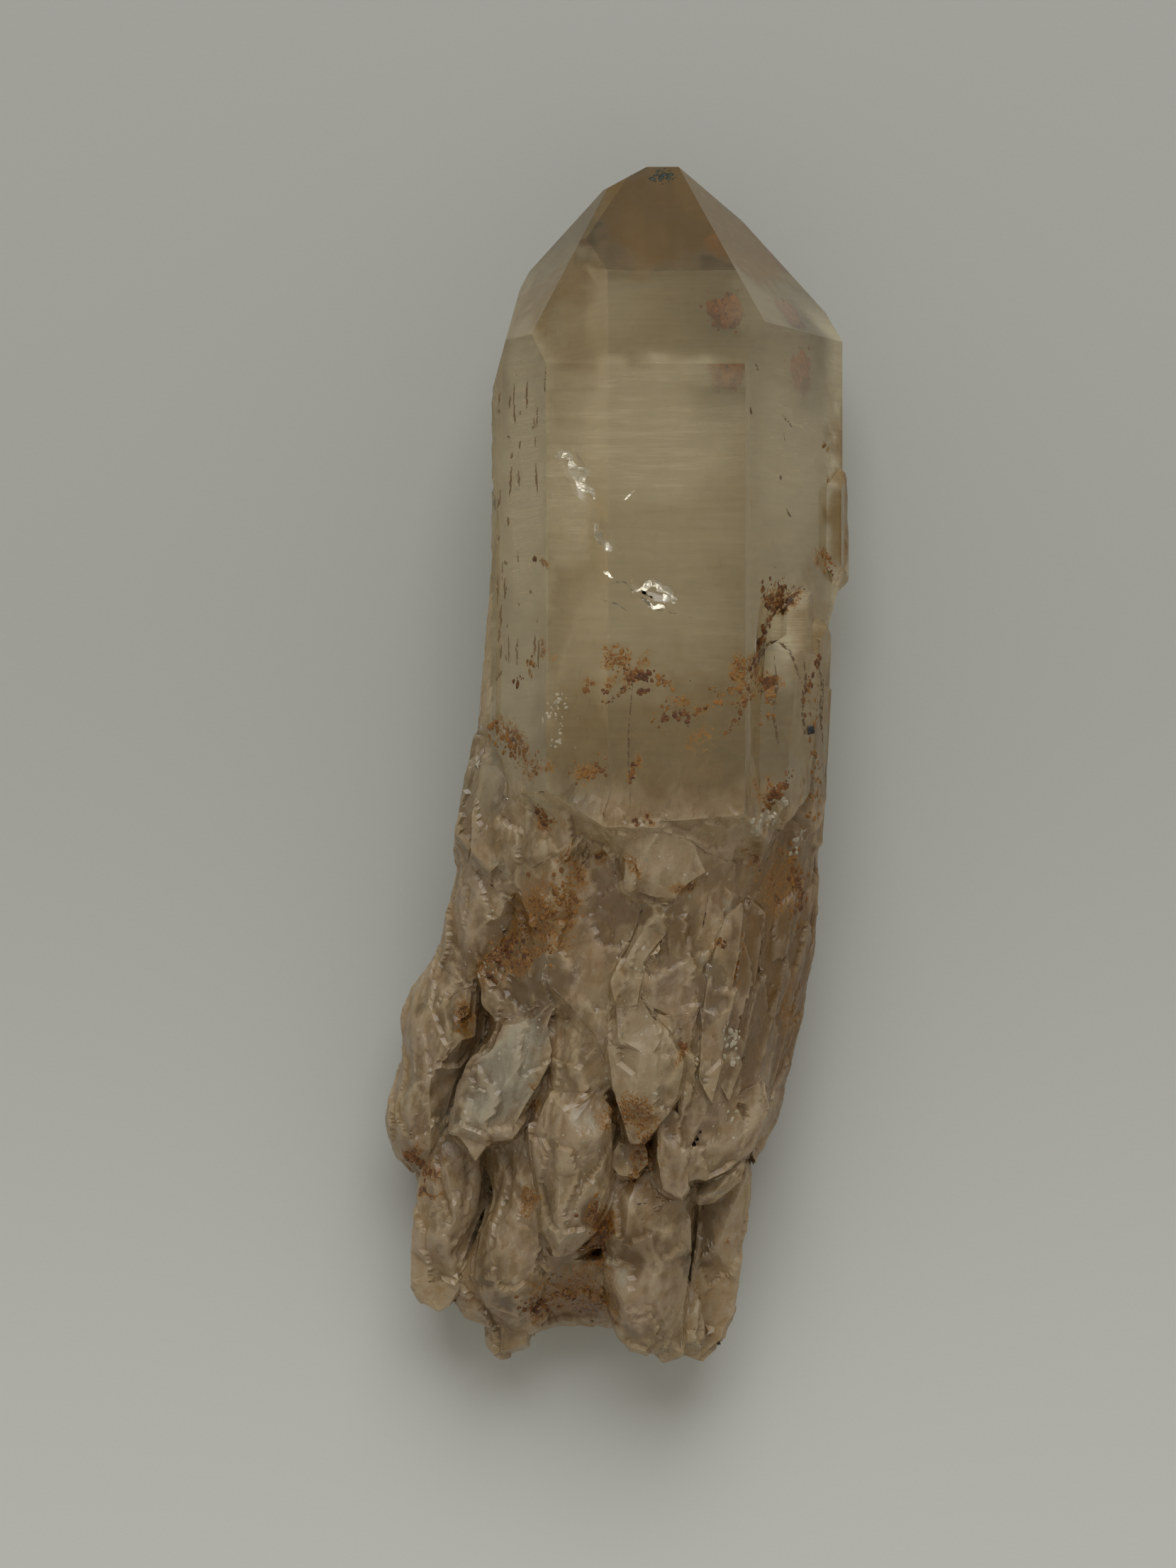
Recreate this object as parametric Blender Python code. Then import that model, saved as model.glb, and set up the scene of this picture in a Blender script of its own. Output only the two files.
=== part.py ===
"""A citrine crystal lying on one prism face.

One clear six-sided prism ends in a six-faced point. Below its middle it is grown together with a sheaf of
leaning side crystals, etched and broken, so the whole is one solid.

The work is drawn in millimetres about the middle of the prism: X across, Y along the crystal towards its
point, Z up from the surface it lies on. The last step turns it into metres and puts the origin under the
middle of its bounding box.
"""

import math
import random

import bmesh
import bpy
from mathutils import Matrix, Vector, geometry

MM = 0.001
NODE = "citrine_crystal"

# Quartz angles: prism faces meet at 120 degrees, and a point face lies 38.2 degrees off the long axis.
FACE_STEP = 60.0
POINT_FACE_TILT = 38.2

PRISM_THICKNESS = 27.0
PRISM_FOOT_Y = -14.0
TIP_Y = 56.9
BLANK_HALF = 90.0

# Each prism face by its turn about the long axis from straight up: its distance from the axis, and the Y at
# which the point face above it begins.
PRISM_FACES = {
    0.0: (13.5, 36.7),
    60.0: (12.4, 40.8),
    120.0: (15.8, 43.8),
    180.0: (13.5, 42.5),
    240.0: (11.4, 46.9),
    300.0: (16.15, 39.6),
}

# Small faces and breaks that trim the prism: what they are, a point on each, and its outward normal.
PRISM_TRIMS = {
    "blunt tip": ((0.0, TIP_Y, 12.0), (0.05, 1.0, 0.12)),
    "chipped ridge left of the tip": ((-0.9, 56.9, 12.6), (-0.45, 0.87, 0.2)),
    "narrow left shoulder": ((-14.8, 39.1, 18.2), (-0.965, 0.26, 0.05)),
    "right edge, cut back above the laths": ((15.7, 17.6, 10.0), (0.95, -0.31, -0.05)),
    "break under the front face": ((0.0, -3.4, 27.0), (0.08, -0.80, 0.55)),
    "break under the left flank": ((-12.0, -2.0, 22.0), (-0.45, -0.70, 0.30)),
}

# Six-sided crystals and laths grown into the prism: head and foot of the axis, width, height, and roll.
GROWTHS = {
    "upper core": ((-0.6, 2.0, 11.4), (-5.4, -29.0, 10.6), 29.0, 22.4, 2.0),
    "lower core": ((-4.0, -12.0, 10.2), (-7.4, -46.5, 7.8), 22.0, 17.0, -3.0),
    "base core": ((-4.2, -8.0, 6.4), (-9.2, -50.4, 5.6), 19.0, 11.0, 0.0),
    "left side lath": ((-12.3, 28.0, 15.0), (-14.8, 0.0, 14.0), 3.4, 11.0, -10.0),
    "left flank blade": ((-14.2, 6.5, 13.6), (-17.6, -8.8, 12.4), 3.4, 9.5, -12.0),
    "left flank lath": ((-14.0, 4.2, 17.2), (-15.6, -10.0, 16.5), 3.4, 8.0, -20.0),
    "arch crystal": ((10.9, 13.8, 20.4), (9.4, -4.0, 21.2), 7.2, 4.0, 60.0),
    "arch tip": ((11.4, 17.8, 19.8), (11.0, 9.0, 20.6), 3.0, 3.0, 60.0),
    "right edge lath": ((14.9, 30.0, 10.0), (14.9, 17.0, 10.0), 3.2, 6.0, 0.0),
    "side lath 1": ((13.2, 15.0, 15.8), (12.4, -5.0, 15.6), 4.0, 2.8, 62.0),
    "side lath 2": ((13.7, 14.2, 11.0), (12.8, -5.5, 10.0), 2.6, 5.6, -4.0),
    "side lath 3": ((13.5, 9.6, 13.6), (12.6, -7.0, 13.2), 3.0, 2.8, 50.0),
    "pale flake": ((9.9, -0.8, 21.0), (6.6, -4.4, 21.6), 1.7, 2.0, 12.0),
    "small pale flake": ((11.8, -3.6, 16.4), (10.6, -6.8, 16.6), 1.6, 1.8, 0.0),
    "end column": ((0.3, -46.0, 11.8), (0.3, -53.8, 10.8), 2.4, 5.0, 8.0),
    "short end column": ((2.2, -46.0, 10.0), (2.5, -53.2, 9.4), 2.4, 6.0, -10.0),
    "olive nub": ((-14.3, -44.0, 7.6), (-14.6, -53.7, 6.4), 3.8, 6.6, 10.0),
    "white blade": ((7.2, -33.6, 15.2), (2.6, -38.2, 15.6), 1.3, 3.0, 30.0),
}

# Broad forms of the sheaf by their outline from above, each with: Z of its underside, Z of its top at the
# middle, the top's rise towards +X and +Y, how far its rim drops below the top, and its roughness.
LEDGES = {
    "left shoulder lump": (
        [(-12.6, -4.0), (-12.8, -8.6), (-14.4, -12.4), (-15.0, -14.6), (-16.4, -17.0), (-18.2, -18.2), (-20.4, -17.4),
         (-20.8, -15.2), (-20.1, -12.2), (-19.5, -9.0), (-18.0, -6.6)],
        6.0, 18.2, 0.75, 0.0, 2.6, 0.35),
    "lower left lobe": (
        [(-17.0, -16.6), (-21.2, -16.2), (-23.4, -18.8), (-24.5, -21.6), (-24.3, -25.2), (-25.3, -28.6),
         (-25.9, -31.0), (-25.7, -32.8), (-24.8, -34.4), (-23.4, -35.5), (-21.8, -36.0), (-20.4, -33.0),
         (-19.2, -27.0), (-17.4, -23.0)],
        3.0, 14.6, 0.45, 0.05, 3.0, 0.3),
    "jagged plate": (
        [(-9.9, -19.2), (-10.7, -21.6), (-10.3, -24.0), (-11.4, -26.6), (-12.6, -29.0), (-14.0, -31.8),
         (-16.4, -32.4), (-17.3, -33.9), (-18.8, -31.6), (-19.9, -31.6), (-19.0, -27.6), (-17.6, -24.8),
         (-15.9, -23.6), (-14.9, -21.6), (-12.6, -21.3)],
        8.0, 20.2, 0.18, 0.08, 0.9, 0.18),
    "left finger": (
        [(-18.6, -30.0), (-17.2, -33.4), (-16.9, -36.4), (-17.2, -39.4), (-18.2, -42.4), (-19.2, -46.4),
         (-20.0, -48.0), (-21.0, -48.5), (-22.7, -47.5), (-23.6, -45.8), (-23.5, -43.0), (-23.2, -40.4),
         (-22.9, -37.0), (-22.2, -34.4), (-21.0, -32.4)],
        3.0, 14.8, 0.12, 0.10, 2.6, 0.12),
    "middle ridge": (
        [(-10.6, -24.0), (-12.6, -28.6), (-12.8, -32.6), (-15.2, -37.2), (-17.0, -40.8), (-18.0, -45.0),
         (-16.4, -48.0), (-13.6, -48.8), (-11.6, -46.6), (-10.6, -42.6), (-8.0, -36.0), (-7.0, -28.0)],
        4.0, 17.0, 0.12, 0.16, 2.4, 0.35),
    "crusted lump": (
        [(-6.4, -27.4), (-10.6, -27.6), (-12.3, -31.0), (-12.0, -35.0), (-11.2, -37.6), (-11.3, -40.0),
         (-10.2, -42.6), (-8.2, -42.2), (-6.6, -40.4), (-5.2, -36.4), (-5.0, -32.0), (-4.8, -29.0)],
        10.0, 21.6, 0.05, 0.16, 2.4, 0.5),
    "small round lump": (
        [(-2.0, -32.3), (-4.4, -32.0), (-5.4, -33.6), (-4.6, -35.2), (-2.8, -35.4), (-1.7, -34.2)],
        12.0, 20.4, 0.0, 0.1, 1.4, 0.2),
    "crust above the lump": (
        [(-5.4, -19.6), (-8.2, -18.6), (-10.2, -20.4), (-10.6, -24.4), (-9.8, -28.4), (-6.4, -28.8),
         (-4.8, -26.4)],
        10.0, 21.4, 0.10, 0.05, 1.4, 0.45),
    "cream crust": (
        [(-2.6, -19.0), (-4.8, -19.4), (-5.5, -23.4), (-5.0, -27.0), (-4.2, -30.0), (-3.6, -32.2),
         (-2.2, -32.2), (-0.4, -29.8), (0.9, -27.8), (1.3, -24.6), (0.4, -22.6), (-1.1, -21.2)],
        12.0, 23.4, 0.0, 0.12, 1.3, 0.4),
    "crust arm": (
        [(0.6, -10.0), (-1.6, -10.2), (-2.4, -13.0), (-4.2, -15.6), (-5.2, -17.4), (-4.8, -19.8),
         (-2.8, -19.6), (-2.2, -15.8), (-0.4, -13.4), (0.6, -11.4)],
        14.0, 24.2, 0.0, 0.08, 0.9, 0.25),
    "crust head": (
        [(-0.4, -2.6), (-3.9, -3.2), (-4.0, -7.4), (-4.2, -9.4), (-1.2, -10.2), (0.6, -10.2), (1.6, -8.8),
         (3.2, -7.8), (2.2, -5.6), (1.0, -4.0)],
        14.0, 25.9, -0.05, 0.08, 0.9, 0.3),
    "beige patch": (
        [(-7.2, -2.4), (-11.0, -1.6), (-15.0, -1.0), (-16.4, -5.4), (-15.4, -9.6), (-12.0, -9.4),
         (-9.0, -6.6)],
        8.0, 23.0, 0.60, 0.12, 1.0, 0.30),
    "rim left of the basin": (
        [(-7.2, -3.0), (-12.0, -3.6), (-13.8, -8.0), (-12.4, -12.4), (-9.2, -14.8), (-8.0, -12.0),
         (-8.2, -8.0)],
        10.0, 23.2, 0.20, 0.12, 1.2, 0.45),
    "basin floor": (
        [(-3.4, -4.0), (-7.4, -3.6), (-8.4, -9.0), (-8.2, -14.2), (-7.2, -16.6), (-5.8, -17.0),
         (-4.0, -15.0), (-1.4, -11.0)],
        10.0, 21.9, -0.06, 0.06, 1.2, 0.12),
    "smoky slope": (
        [(-8.2, -13.0), (-13.8, -12.4), (-17.0, -15.4), (-16.8, -20.0), (-14.0, -22.4), (-9.6, -20.0),
         (-7.2, -18.4)],
        8.0, 18.4, 0.16, 0.0, 1.2, 0.2),
    "right slope": (
        [(2.0, -1.0), (10.6, 2.0), (13.4, -1.0), (13.6, -7.0), (13.0, -14.0), (11.4, -22.0), (9.4, -29.0),
         (7.6, -33.4), (4.0, -35.4), (1.4, -33.0), (0.6, -24.0), (-0.2, -12.0)],
        3.0, 18.6, -0.80, 0.14, 1.6, 0.2),
    "grey facet": (
        [(0.4, -9.6), (2.6, -8.0), (5.0, -8.4), (5.0, -12.8), (4.2, -15.6), (2.6, -17.4), (2.2, -20.2),
         (0.4, -20.8), (-1.4, -20.0), (-3.4, -17.8), (-2.0, -15.4), (0.0, -13.0)],
        12.0, 22.9, -0.18, 0.06, 0.8, 0.12),
    "outer right lath": (
        [(12.4, -3.6), (13.8, -5.4), (14.0, -9.0), (13.8, -14.5), (13.0, -18.6), (12.6, -21.6),
         (11.9, -24.6), (11.2, -27.0), (10.9, -29.0), (10.2, -31.0), (9.2, -33.0), (8.2, -35.0),
         (7.2, -32.0), (8.6, -24.0), (9.8, -17.0), (10.6, -10.0)],
        1.5, 13.0, -0.50, 0.06, 1.8, 0.2),
    "right lath 1": (
        [(9.8, -2.0), (11.8, -3.6), (11.8, -8.0), (10.8, -15.0), (9.4, -22.0), (8.2, -27.0), (6.8, -31.0),
         (5.6, -27.0), (6.6, -20.0), (7.8, -13.0), (8.6, -7.0)],
        6.0, 18.2, -0.7, 0.12, 0.8, 0.12),
    "right lath 2": (
        [(7.2, -10.4), (8.6, -11.6), (8.0, -18.0), (6.8, -24.0), (5.4, -28.4), (4.2, -26.0),
         (4.6, -20.0), (5.4, -15.0)],
        8.0, 20.8, -0.50, 0.12, 0.7, 0.1),
    "right lath 3": (
        [(5.0, -11.6), (6.7, -10.4), (6.3, -15.0), (5.5, -20.0), (4.7, -24.4), (3.9, -28.6), (2.6, -26.4),
         (3.0, -20.0), (3.8, -15.6)],
        8.0, 22.4, -0.40, 0.12, 0.7, 0.1),
    "pale lower facet": (
        [(1.7, -27.4), (4.6, -25.6), (5.8, -28.4), (8.2, -26.8), (9.2, -29.5), (7.6, -33.4), (6.2, -34.4),
         (3.4, -35.8), (1.8, -35.6)],
        6.0, 19.0, -0.45, 0.16, 0.9, 0.1),
    "narrow blade": (
        [(0.0, -29.0), (-1.0, -31.0), (-1.1, -33.6), (-0.6, -36.4), (1.2, -37.4), (1.9, -36.4),
         (1.7, -32.0), (1.2, -29.8)],
        8.0, 20.6, 0.0, 0.12, 0.8, 0.1),
    "right finger": (
        [(-2.2, -34.6), (-4.6, -36.6), (-5.6, -39.6), (-5.6, -44.0), (-5.3, -48.0), (-4.6, -50.6),
         (-3.2, -52.0), (-1.0, -52.4), (0.8, -51.8), (1.6, -47.4), (2.1, -43.4), (2.1, -39.8),
         (1.4, -36.8), (-0.2, -35.0)],
        3.0, 17.0, -0.05, 0.22, 2.6, 0.2),
    "right wedge": (
        [(4.6, -33.4), (7.8, -35.0), (7.9, -38.6), (7.0, -42.0), (6.7, -46.0), (6.4, -48.8),
         (5.2, -51.4), (3.4, -53.2), (1.4, -52.6), (2.4, -44.0), (3.4, -38.6)],
        2.0, 12.6, -0.20, 0.10, 1.6, 0.2),
    "slope beside the arch": (
        [(-12.0, -42.0), (-16.6, -40.8), (-19.4, -44.6), (-19.3, -48.0), (-18.6, -49.4), (-16.8, -50.2),
         (-14.4, -50.8), (-12.4, -51.0), (-10.8, -49.4)],
        2.0, 11.8, 0.05, 0.30, 1.4, 0.25),
    "arch wall": (
        [(-13.2, -43.6), (-9.0, -43.2), (-5.0, -43.6), (-3.8, -47.6), (-4.4, -51.2), (-6.4, -50.6),
         (-9.6, -50.6), (-12.6, -51.3), (-13.8, -48.6)],
        1.0, 10.5, 0.0, 1.10, 0.8, 0.3),
}

# Hollows broken or etched out of the sheaf: centre, half sizes, and turn about Z in degrees.
SCOOPS = {
    "glinting chip": ((-8.3, 27.2, 27.5), (1.3, 3.6, 0.9), 24.0),
    "short chip": ((-5.6, 21.6, 27.4), (0.9, 1.8, 0.7), 18.0),
    "face chip": ((-1.6, 17.1, 27.5), (3.0, 1.3, 0.85), -22.0),
    "groove beside the arch": ((7.9, 13.4, 24.0), (0.7, 4.4, 1.3), -14.0),
    "foot arch": ((-8.4, -54.5, 10.0), (4.6, 3.9, 30.0), 0.0),
}

# The hidden sides carry more laths, spaced round the core from low on the right to low on the left.
HIDDEN_LATHS = 14
HIDDEN_FIRST_TURN = 108.0
HIDDEN_LAST_TURN = 256.0
HIDDEN_SEED = 7

# The uneven tops of ledges: how far apart their facets' corners are, and how wide the rim rounds over.
LEDGE_ROUGH_SPACING = 1.7
LEDGE_SMOOTH_SPACING = 2.6
LEDGE_SMOOTH_LIMIT = 0.22
LEDGE_STRETCH = 1.5
LEDGE_RIM = 2.0

# The sides of ledges: how much wider the waist is than the outline, how high it is, and how wide the foot is.
LEDGE_FLARE = 1.04
LEDGE_WAIST = 0.5
LEDGE_FOOT = 0.72

END_CUTS = 4
SCOOP_SUBDIVISIONS = 2
TABLE_DEPTH = 20.0

CITRINE = (0.56, 0.47, 0.27, 1.0)
ROUGHNESS = 0.18


def clear_scene():
    """Removes the objects of the startup scene."""
    for thing in list(bpy.data.objects):
        bpy.data.objects.remove(thing, do_unlink=True)


def new_collection(name):
    """A collection linked to the scene."""
    made = bpy.data.collections.new(name)
    bpy.context.scene.collection.children.link(made)
    return made


def finished(name, mesh, collection, guide=False):
    """An object in metres from a mesh in millimetres. A guide only shapes another object."""
    bmesh.ops.scale(mesh, vec=(MM, MM, MM), verts=mesh.verts)
    data = bpy.data.meshes.new(name)
    mesh.to_mesh(data)
    mesh.free()
    made = bpy.data.objects.new(name, data)
    collection.objects.link(made)
    if guide:
        made.hide_render = True
        made.display_type = "WIRE"
    return made


def split_off(mesh, point, normal):
    """Takes away what lies beyond a plane and closes the cut with one flat face."""
    everything = mesh.verts[:] + mesh.edges[:] + mesh.faces[:]
    cut = bmesh.ops.bisect_plane(
        mesh, geom=everything, plane_co=point, plane_no=normal, clear_outer=True
    )
    rim = [part for part in cut["geom_cut"] if isinstance(part, bmesh.types.BMEdge)]
    if rim:
        bmesh.ops.contextual_create(mesh, geom=rim)


def side_normal(turn):
    """The outward normal of a prism face, turned clockwise from straight up as seen from the foot."""
    angle = math.radians(turn)
    return Vector((math.sin(angle), 0.0, math.cos(angle)))


def main_prism():
    """The clear prism with its point, its small faces and the breaks at its foot."""
    mesh = bmesh.new()
    bmesh.ops.create_cube(mesh, size=2.0 * BLANK_HALF)
    axis_point = Vector((0.0, 0.0, PRISM_THICKNESS / 2.0))
    tilt = math.radians(POINT_FACE_TILT)
    for turn, (distance, point_start) in PRISM_FACES.items():
        outward = side_normal(turn)
        on_face = axis_point + outward * distance
        split_off(mesh, on_face, outward)
        towards_tip = outward * math.cos(tilt) + Vector((0.0, math.sin(tilt), 0.0))
        split_off(mesh, on_face + Vector((0.0, point_start, 0.0)), towards_tip)
    for point, normal in PRISM_TRIMS.values():
        split_off(mesh, Vector(point), Vector(normal).normalized())
    split_off(mesh, Vector((0.0, PRISM_FOOT_Y, 0.0)), Vector((0.0, -1.0, 0.0)))
    return mesh


def growth(head, foot, width, height, roll, chance):
    """A six-sided crystal between two points, its faces set unevenly and its two ends broken to blunt points."""
    head, foot = Vector(head), Vector(foot)
    along = (head - foot).normalized()
    half_length = (head - foot).length / 2.0
    mesh = bmesh.new()
    bmesh.ops.create_cube(mesh, size=2.0 * BLANK_HALF)
    for side in range(6):
        angle = math.radians(side * FACE_STEP)
        reach = Vector((math.sin(angle) * width, math.cos(angle) * height)).length / 2.0
        outward = Vector((math.sin(angle) * height, math.cos(angle) * width, 0.0)).normalized()
        split_off(mesh, outward * reach * chance.uniform(0.86, 1.0), outward)
    first_turn = chance.uniform(0.0, 360.0)
    for end in (1.0, -1.0):
        split_off(mesh, Vector((0.0, 0.0, end * half_length)), Vector((0.0, 0.0, end)))
        for cut in range(END_CUTS):
            angle = math.radians(first_turn + cut * 360.0 / END_CUTS + chance.uniform(-25.0, 25.0))
            steepness = math.radians(chance.uniform(28.0, 58.0))
            lean = Vector((math.cos(angle), math.sin(angle), 0.0))
            normal = lean * math.cos(steepness) + Vector((0.0, 0.0, end * math.sin(steepness)))
            inset = chance.uniform(0.10, 0.45) * min(width, height)
            point = Vector((0.0, 0.0, end * (half_length - inset))) + lean * min(width, height) * 0.35
            split_off(mesh, point, normal)
    up = Vector((0.0, 0.0, 1.0))
    up = (up - along * up.dot(along)).normalized()
    across = up.cross(along)
    stance = Matrix((across, up, along)).transposed().to_4x4()
    rolled = stance @ Matrix.Rotation(math.radians(roll), 4, "Z")
    bmesh.ops.transform(mesh, matrix=Matrix.Translation((head + foot) / 2.0) @ rolled, verts=mesh.verts)
    return mesh


def inside(place, outline):
    """Whether a point is within an outline seen from above."""
    within = False
    for here, there in zip(outline, outline[1:] + outline[:1]):
        if (here.y > place.y) != (there.y > place.y):
            crossing = here.x + (place.y - here.y) * (there.x - here.x) / (there.y - here.y)
            within ^= place.x < crossing
    return within


def depth_inside(place, outline):
    """How far a point is from the nearest side of an outline."""
    nearest = math.inf
    for here, there in zip(outline, outline[1:] + outline[:1]):
        foot, share = geometry.intersect_point_line(place, here, there)
        foot = here.lerp(there, min(max(share, 0.0), 1.0))
        nearest = min(nearest, (place - foot).length)
    return nearest


def scattered(outline, spacing, chance):
    """Points spread unevenly over an outline, farther apart along the crystal than across it."""
    low = Vector((min(p.x for p in outline), min(p.y for p in outline)))
    high = Vector((max(p.x for p in outline), max(p.y for p in outline)))
    along = spacing * LEDGE_STRETCH
    for column in range(int((high.x - low.x) / spacing) + 1):
        for row in range(int((high.y - low.y) / along) + 1):
            shift = 0.5 * (column % 2)
            place = low + Vector(((column + 0.5) * spacing, (row + shift) * along))
            place += Vector((chance.uniform(-0.3, 0.3) * spacing, chance.uniform(-0.3, 0.3) * along))
            if inside(place, outline) and depth_inside(place, outline) > 0.45 * spacing:
                yield place


def rim_of(mesh):
    """The open edges of a surface."""
    return [edge for edge in mesh.edges if edge.is_boundary]


def drawn_down(mesh, middle, kept, height):
    """Extrudes the open rim of a surface down to a height, and scales the new rim about the middle."""
    bmesh.ops.extrude_edge_only(mesh, edges=rim_of(mesh))
    for corner in {end for edge in rim_of(mesh) for end in edge.verts}:
        place = middle + (corner.co.xy - middle) * kept
        corner.co = (place.x, place.y, height)


def ledge(corners, underside, top, rise_x, rise_y, drop, rough, chance):
    """A broad form over an outline: a sloping top of uneven facets that rounds over at its rim, and sides
    that swell to a waist and draw in to a smaller foot."""
    outline = [Vector(corner) for corner in corners]
    middle = sum(outline, Vector((0.0, 0.0))) / len(outline)
    spacing = LEDGE_ROUGH_SPACING if rough > LEDGE_SMOOTH_LIMIT else LEDGE_SMOOTH_SPACING
    points = outline + list(scattered(outline, spacing, chance))
    sides = [(here, (here + 1) % len(outline)) for here in range(len(outline))]
    places, _, triangles, _, _, _ = geometry.delaunay_2d_cdt(points, sides, [], 1, 0.001)
    mesh = bmesh.new()
    surface = []
    for place in places:
        rounding = 1.0 - min(depth_inside(place, outline) / LEDGE_RIM, 1.0)
        height = top + rise_x * (place.x - middle.x) + rise_y * (place.y - middle.y)
        height += chance.uniform(-rough, rough) - drop * rounding ** 2
        surface.append(mesh.verts.new((place.x, place.y, height)))
    for triangle in triangles:
        mesh.faces.new([surface[corner] for corner in triangle])
    drawn_down(mesh, middle, LEDGE_FLARE, underside + LEDGE_WAIST * (top - underside))
    drawn_down(mesh, middle, LEDGE_FOOT / LEDGE_FLARE, underside)
    bmesh.ops.contextual_create(mesh, geom=rim_of(mesh))
    bmesh.ops.triangulate(mesh, faces=mesh.faces[:])
    bmesh.ops.recalc_face_normals(mesh, faces=mesh.faces[:])
    return mesh


def hidden_growths():
    """Head, foot, width, height and roll of the laths round the underside, drawn by a seeded chance."""
    chance = random.Random(HIDDEN_SEED)
    for number in range(HIDDEN_LATHS):
        share = number / (HIDDEN_LATHS - 1)
        turn = math.radians(HIDDEN_FIRST_TURN + share * (HIDDEN_LAST_TURN - HIDDEN_FIRST_TURN))
        head_y = chance.uniform(-12.0, 6.0) if number % 2 else chance.uniform(-26.0, -16.0)
        foot_y = max(head_y - chance.uniform(20.0, 30.0), -50.0)
        ends = []
        for y in (head_y, foot_y):
            centre_x = -1.0 + min(0.0, y + 2.0) * 0.17
            x = centre_x + math.sin(turn) * 12.0
            z = 11.0 + math.cos(turn) * 8.5
            ends.append((x, y, z))
        yield (*ends, chance.uniform(3.5, 6.5), chance.uniform(4.0, 7.0), chance.uniform(-30.0, 30.0))


def scoop(centre, half_sizes, turn):
    """An ellipsoid of low facets, which leaves a shell-shaped hollow."""
    mesh = bmesh.new()
    bmesh.ops.create_icosphere(mesh, subdivisions=SCOOP_SUBDIVISIONS, radius=1.0)
    bmesh.ops.scale(mesh, vec=half_sizes, verts=mesh.verts)
    bmesh.ops.rotate(mesh, matrix=Matrix.Rotation(math.radians(turn), 3, "Z"), verts=mesh.verts)
    bmesh.ops.translate(mesh, vec=centre, verts=mesh.verts)
    return mesh


def table():
    """The block under the surface that the crystal lies on, which levels its underside."""
    mesh = bmesh.new()
    bmesh.ops.create_cube(mesh, size=2.0 * BLANK_HALF)
    bmesh.ops.scale(mesh, vec=(1.0, 1.0, TABLE_DEPTH / (2.0 * BLANK_HALF)), verts=mesh.verts)
    bmesh.ops.translate(mesh, vec=(0.0, 0.0, -TABLE_DEPTH / 2.0), verts=mesh.verts)
    return mesh


def add_boolean(target, operation, tools):
    """A Boolean on the target, with a whole collection as its tool."""
    modifier = target.modifiers.new(operation.title(), "BOOLEAN")
    modifier.operation = operation
    modifier.solver = "EXACT"
    modifier.operand_type = "COLLECTION"
    modifier.collection = tools


def settle(body, guides):
    """Moves everything so that the origin is under the middle of the finished solid's bounding box."""
    graph = bpy.context.evaluated_depsgraph_get()
    corners = [Vector(corner) for corner in body.evaluated_get(graph).bound_box]
    low = Vector([min(corner[axis] for corner in corners) for axis in range(3)])
    high = Vector([max(corner[axis] for corner in corners) for axis in range(3)])
    middle = (low + high) / 2.0
    for thing in (body, *guides):
        thing.location = (-middle.x, -middle.y, -low.z)


def citrine():
    """Pale yellow-brown see-through quartz."""
    material = bpy.data.materials.new("citrine")
    material.use_nodes = True
    shader = material.node_tree.nodes["Principled BSDF"]
    shader.inputs["Base Color"].default_value = CITRINE
    shader.inputs["Roughness"].default_value = ROUGHNESS
    shader.inputs["Metallic"].default_value = 0.0
    return material


def build():
    """The crystal as one solid: the prism, joined with its growths, hollowed by the scoops, level below."""
    clear_scene()
    parts = new_collection("citrine crystal parts")
    joined = new_collection("growths")
    hollows = new_collection("scoops")
    body = finished(NODE, main_prism(), parts)
    for name, sizes in GROWTHS.items():
        finished(name, growth(*sizes, random.Random(name)), joined, guide=True)
    for name, sizes in LEDGES.items():
        finished(name, ledge(*sizes, random.Random(name)), joined, guide=True)
    for number, sizes in enumerate(hidden_growths()):
        name = f"hidden lath {number + 1}"
        finished(name, growth(*sizes, random.Random(name)), joined, guide=True)
    for name, sizes in SCOOPS.items():
        finished(name, scoop(*sizes), hollows, guide=True)
    finished("table", table(), hollows, guide=True)
    add_boolean(body, "UNION", joined)
    add_boolean(body, "DIFFERENCE", hollows)
    settle(body, [*joined.objects, *hollows.objects])
    body.data.materials.append(citrine())


build()
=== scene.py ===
"""The looks of a citrine crystal that lies on a pale surface: a clear prism with its point away from the
viewer, grown together at its foot with a sheaf of milky, etched and rust-stained side crystals.

Places on the crystal are written in millimetres about the middle of the prism, as the solid was drawn:
X across, Y along the crystal towards its point, Z up from the surface that it lies on.
"""

import math
import random

import bmesh
import bpy
import numpy
from mathutils import Matrix, Vector, noise


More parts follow.
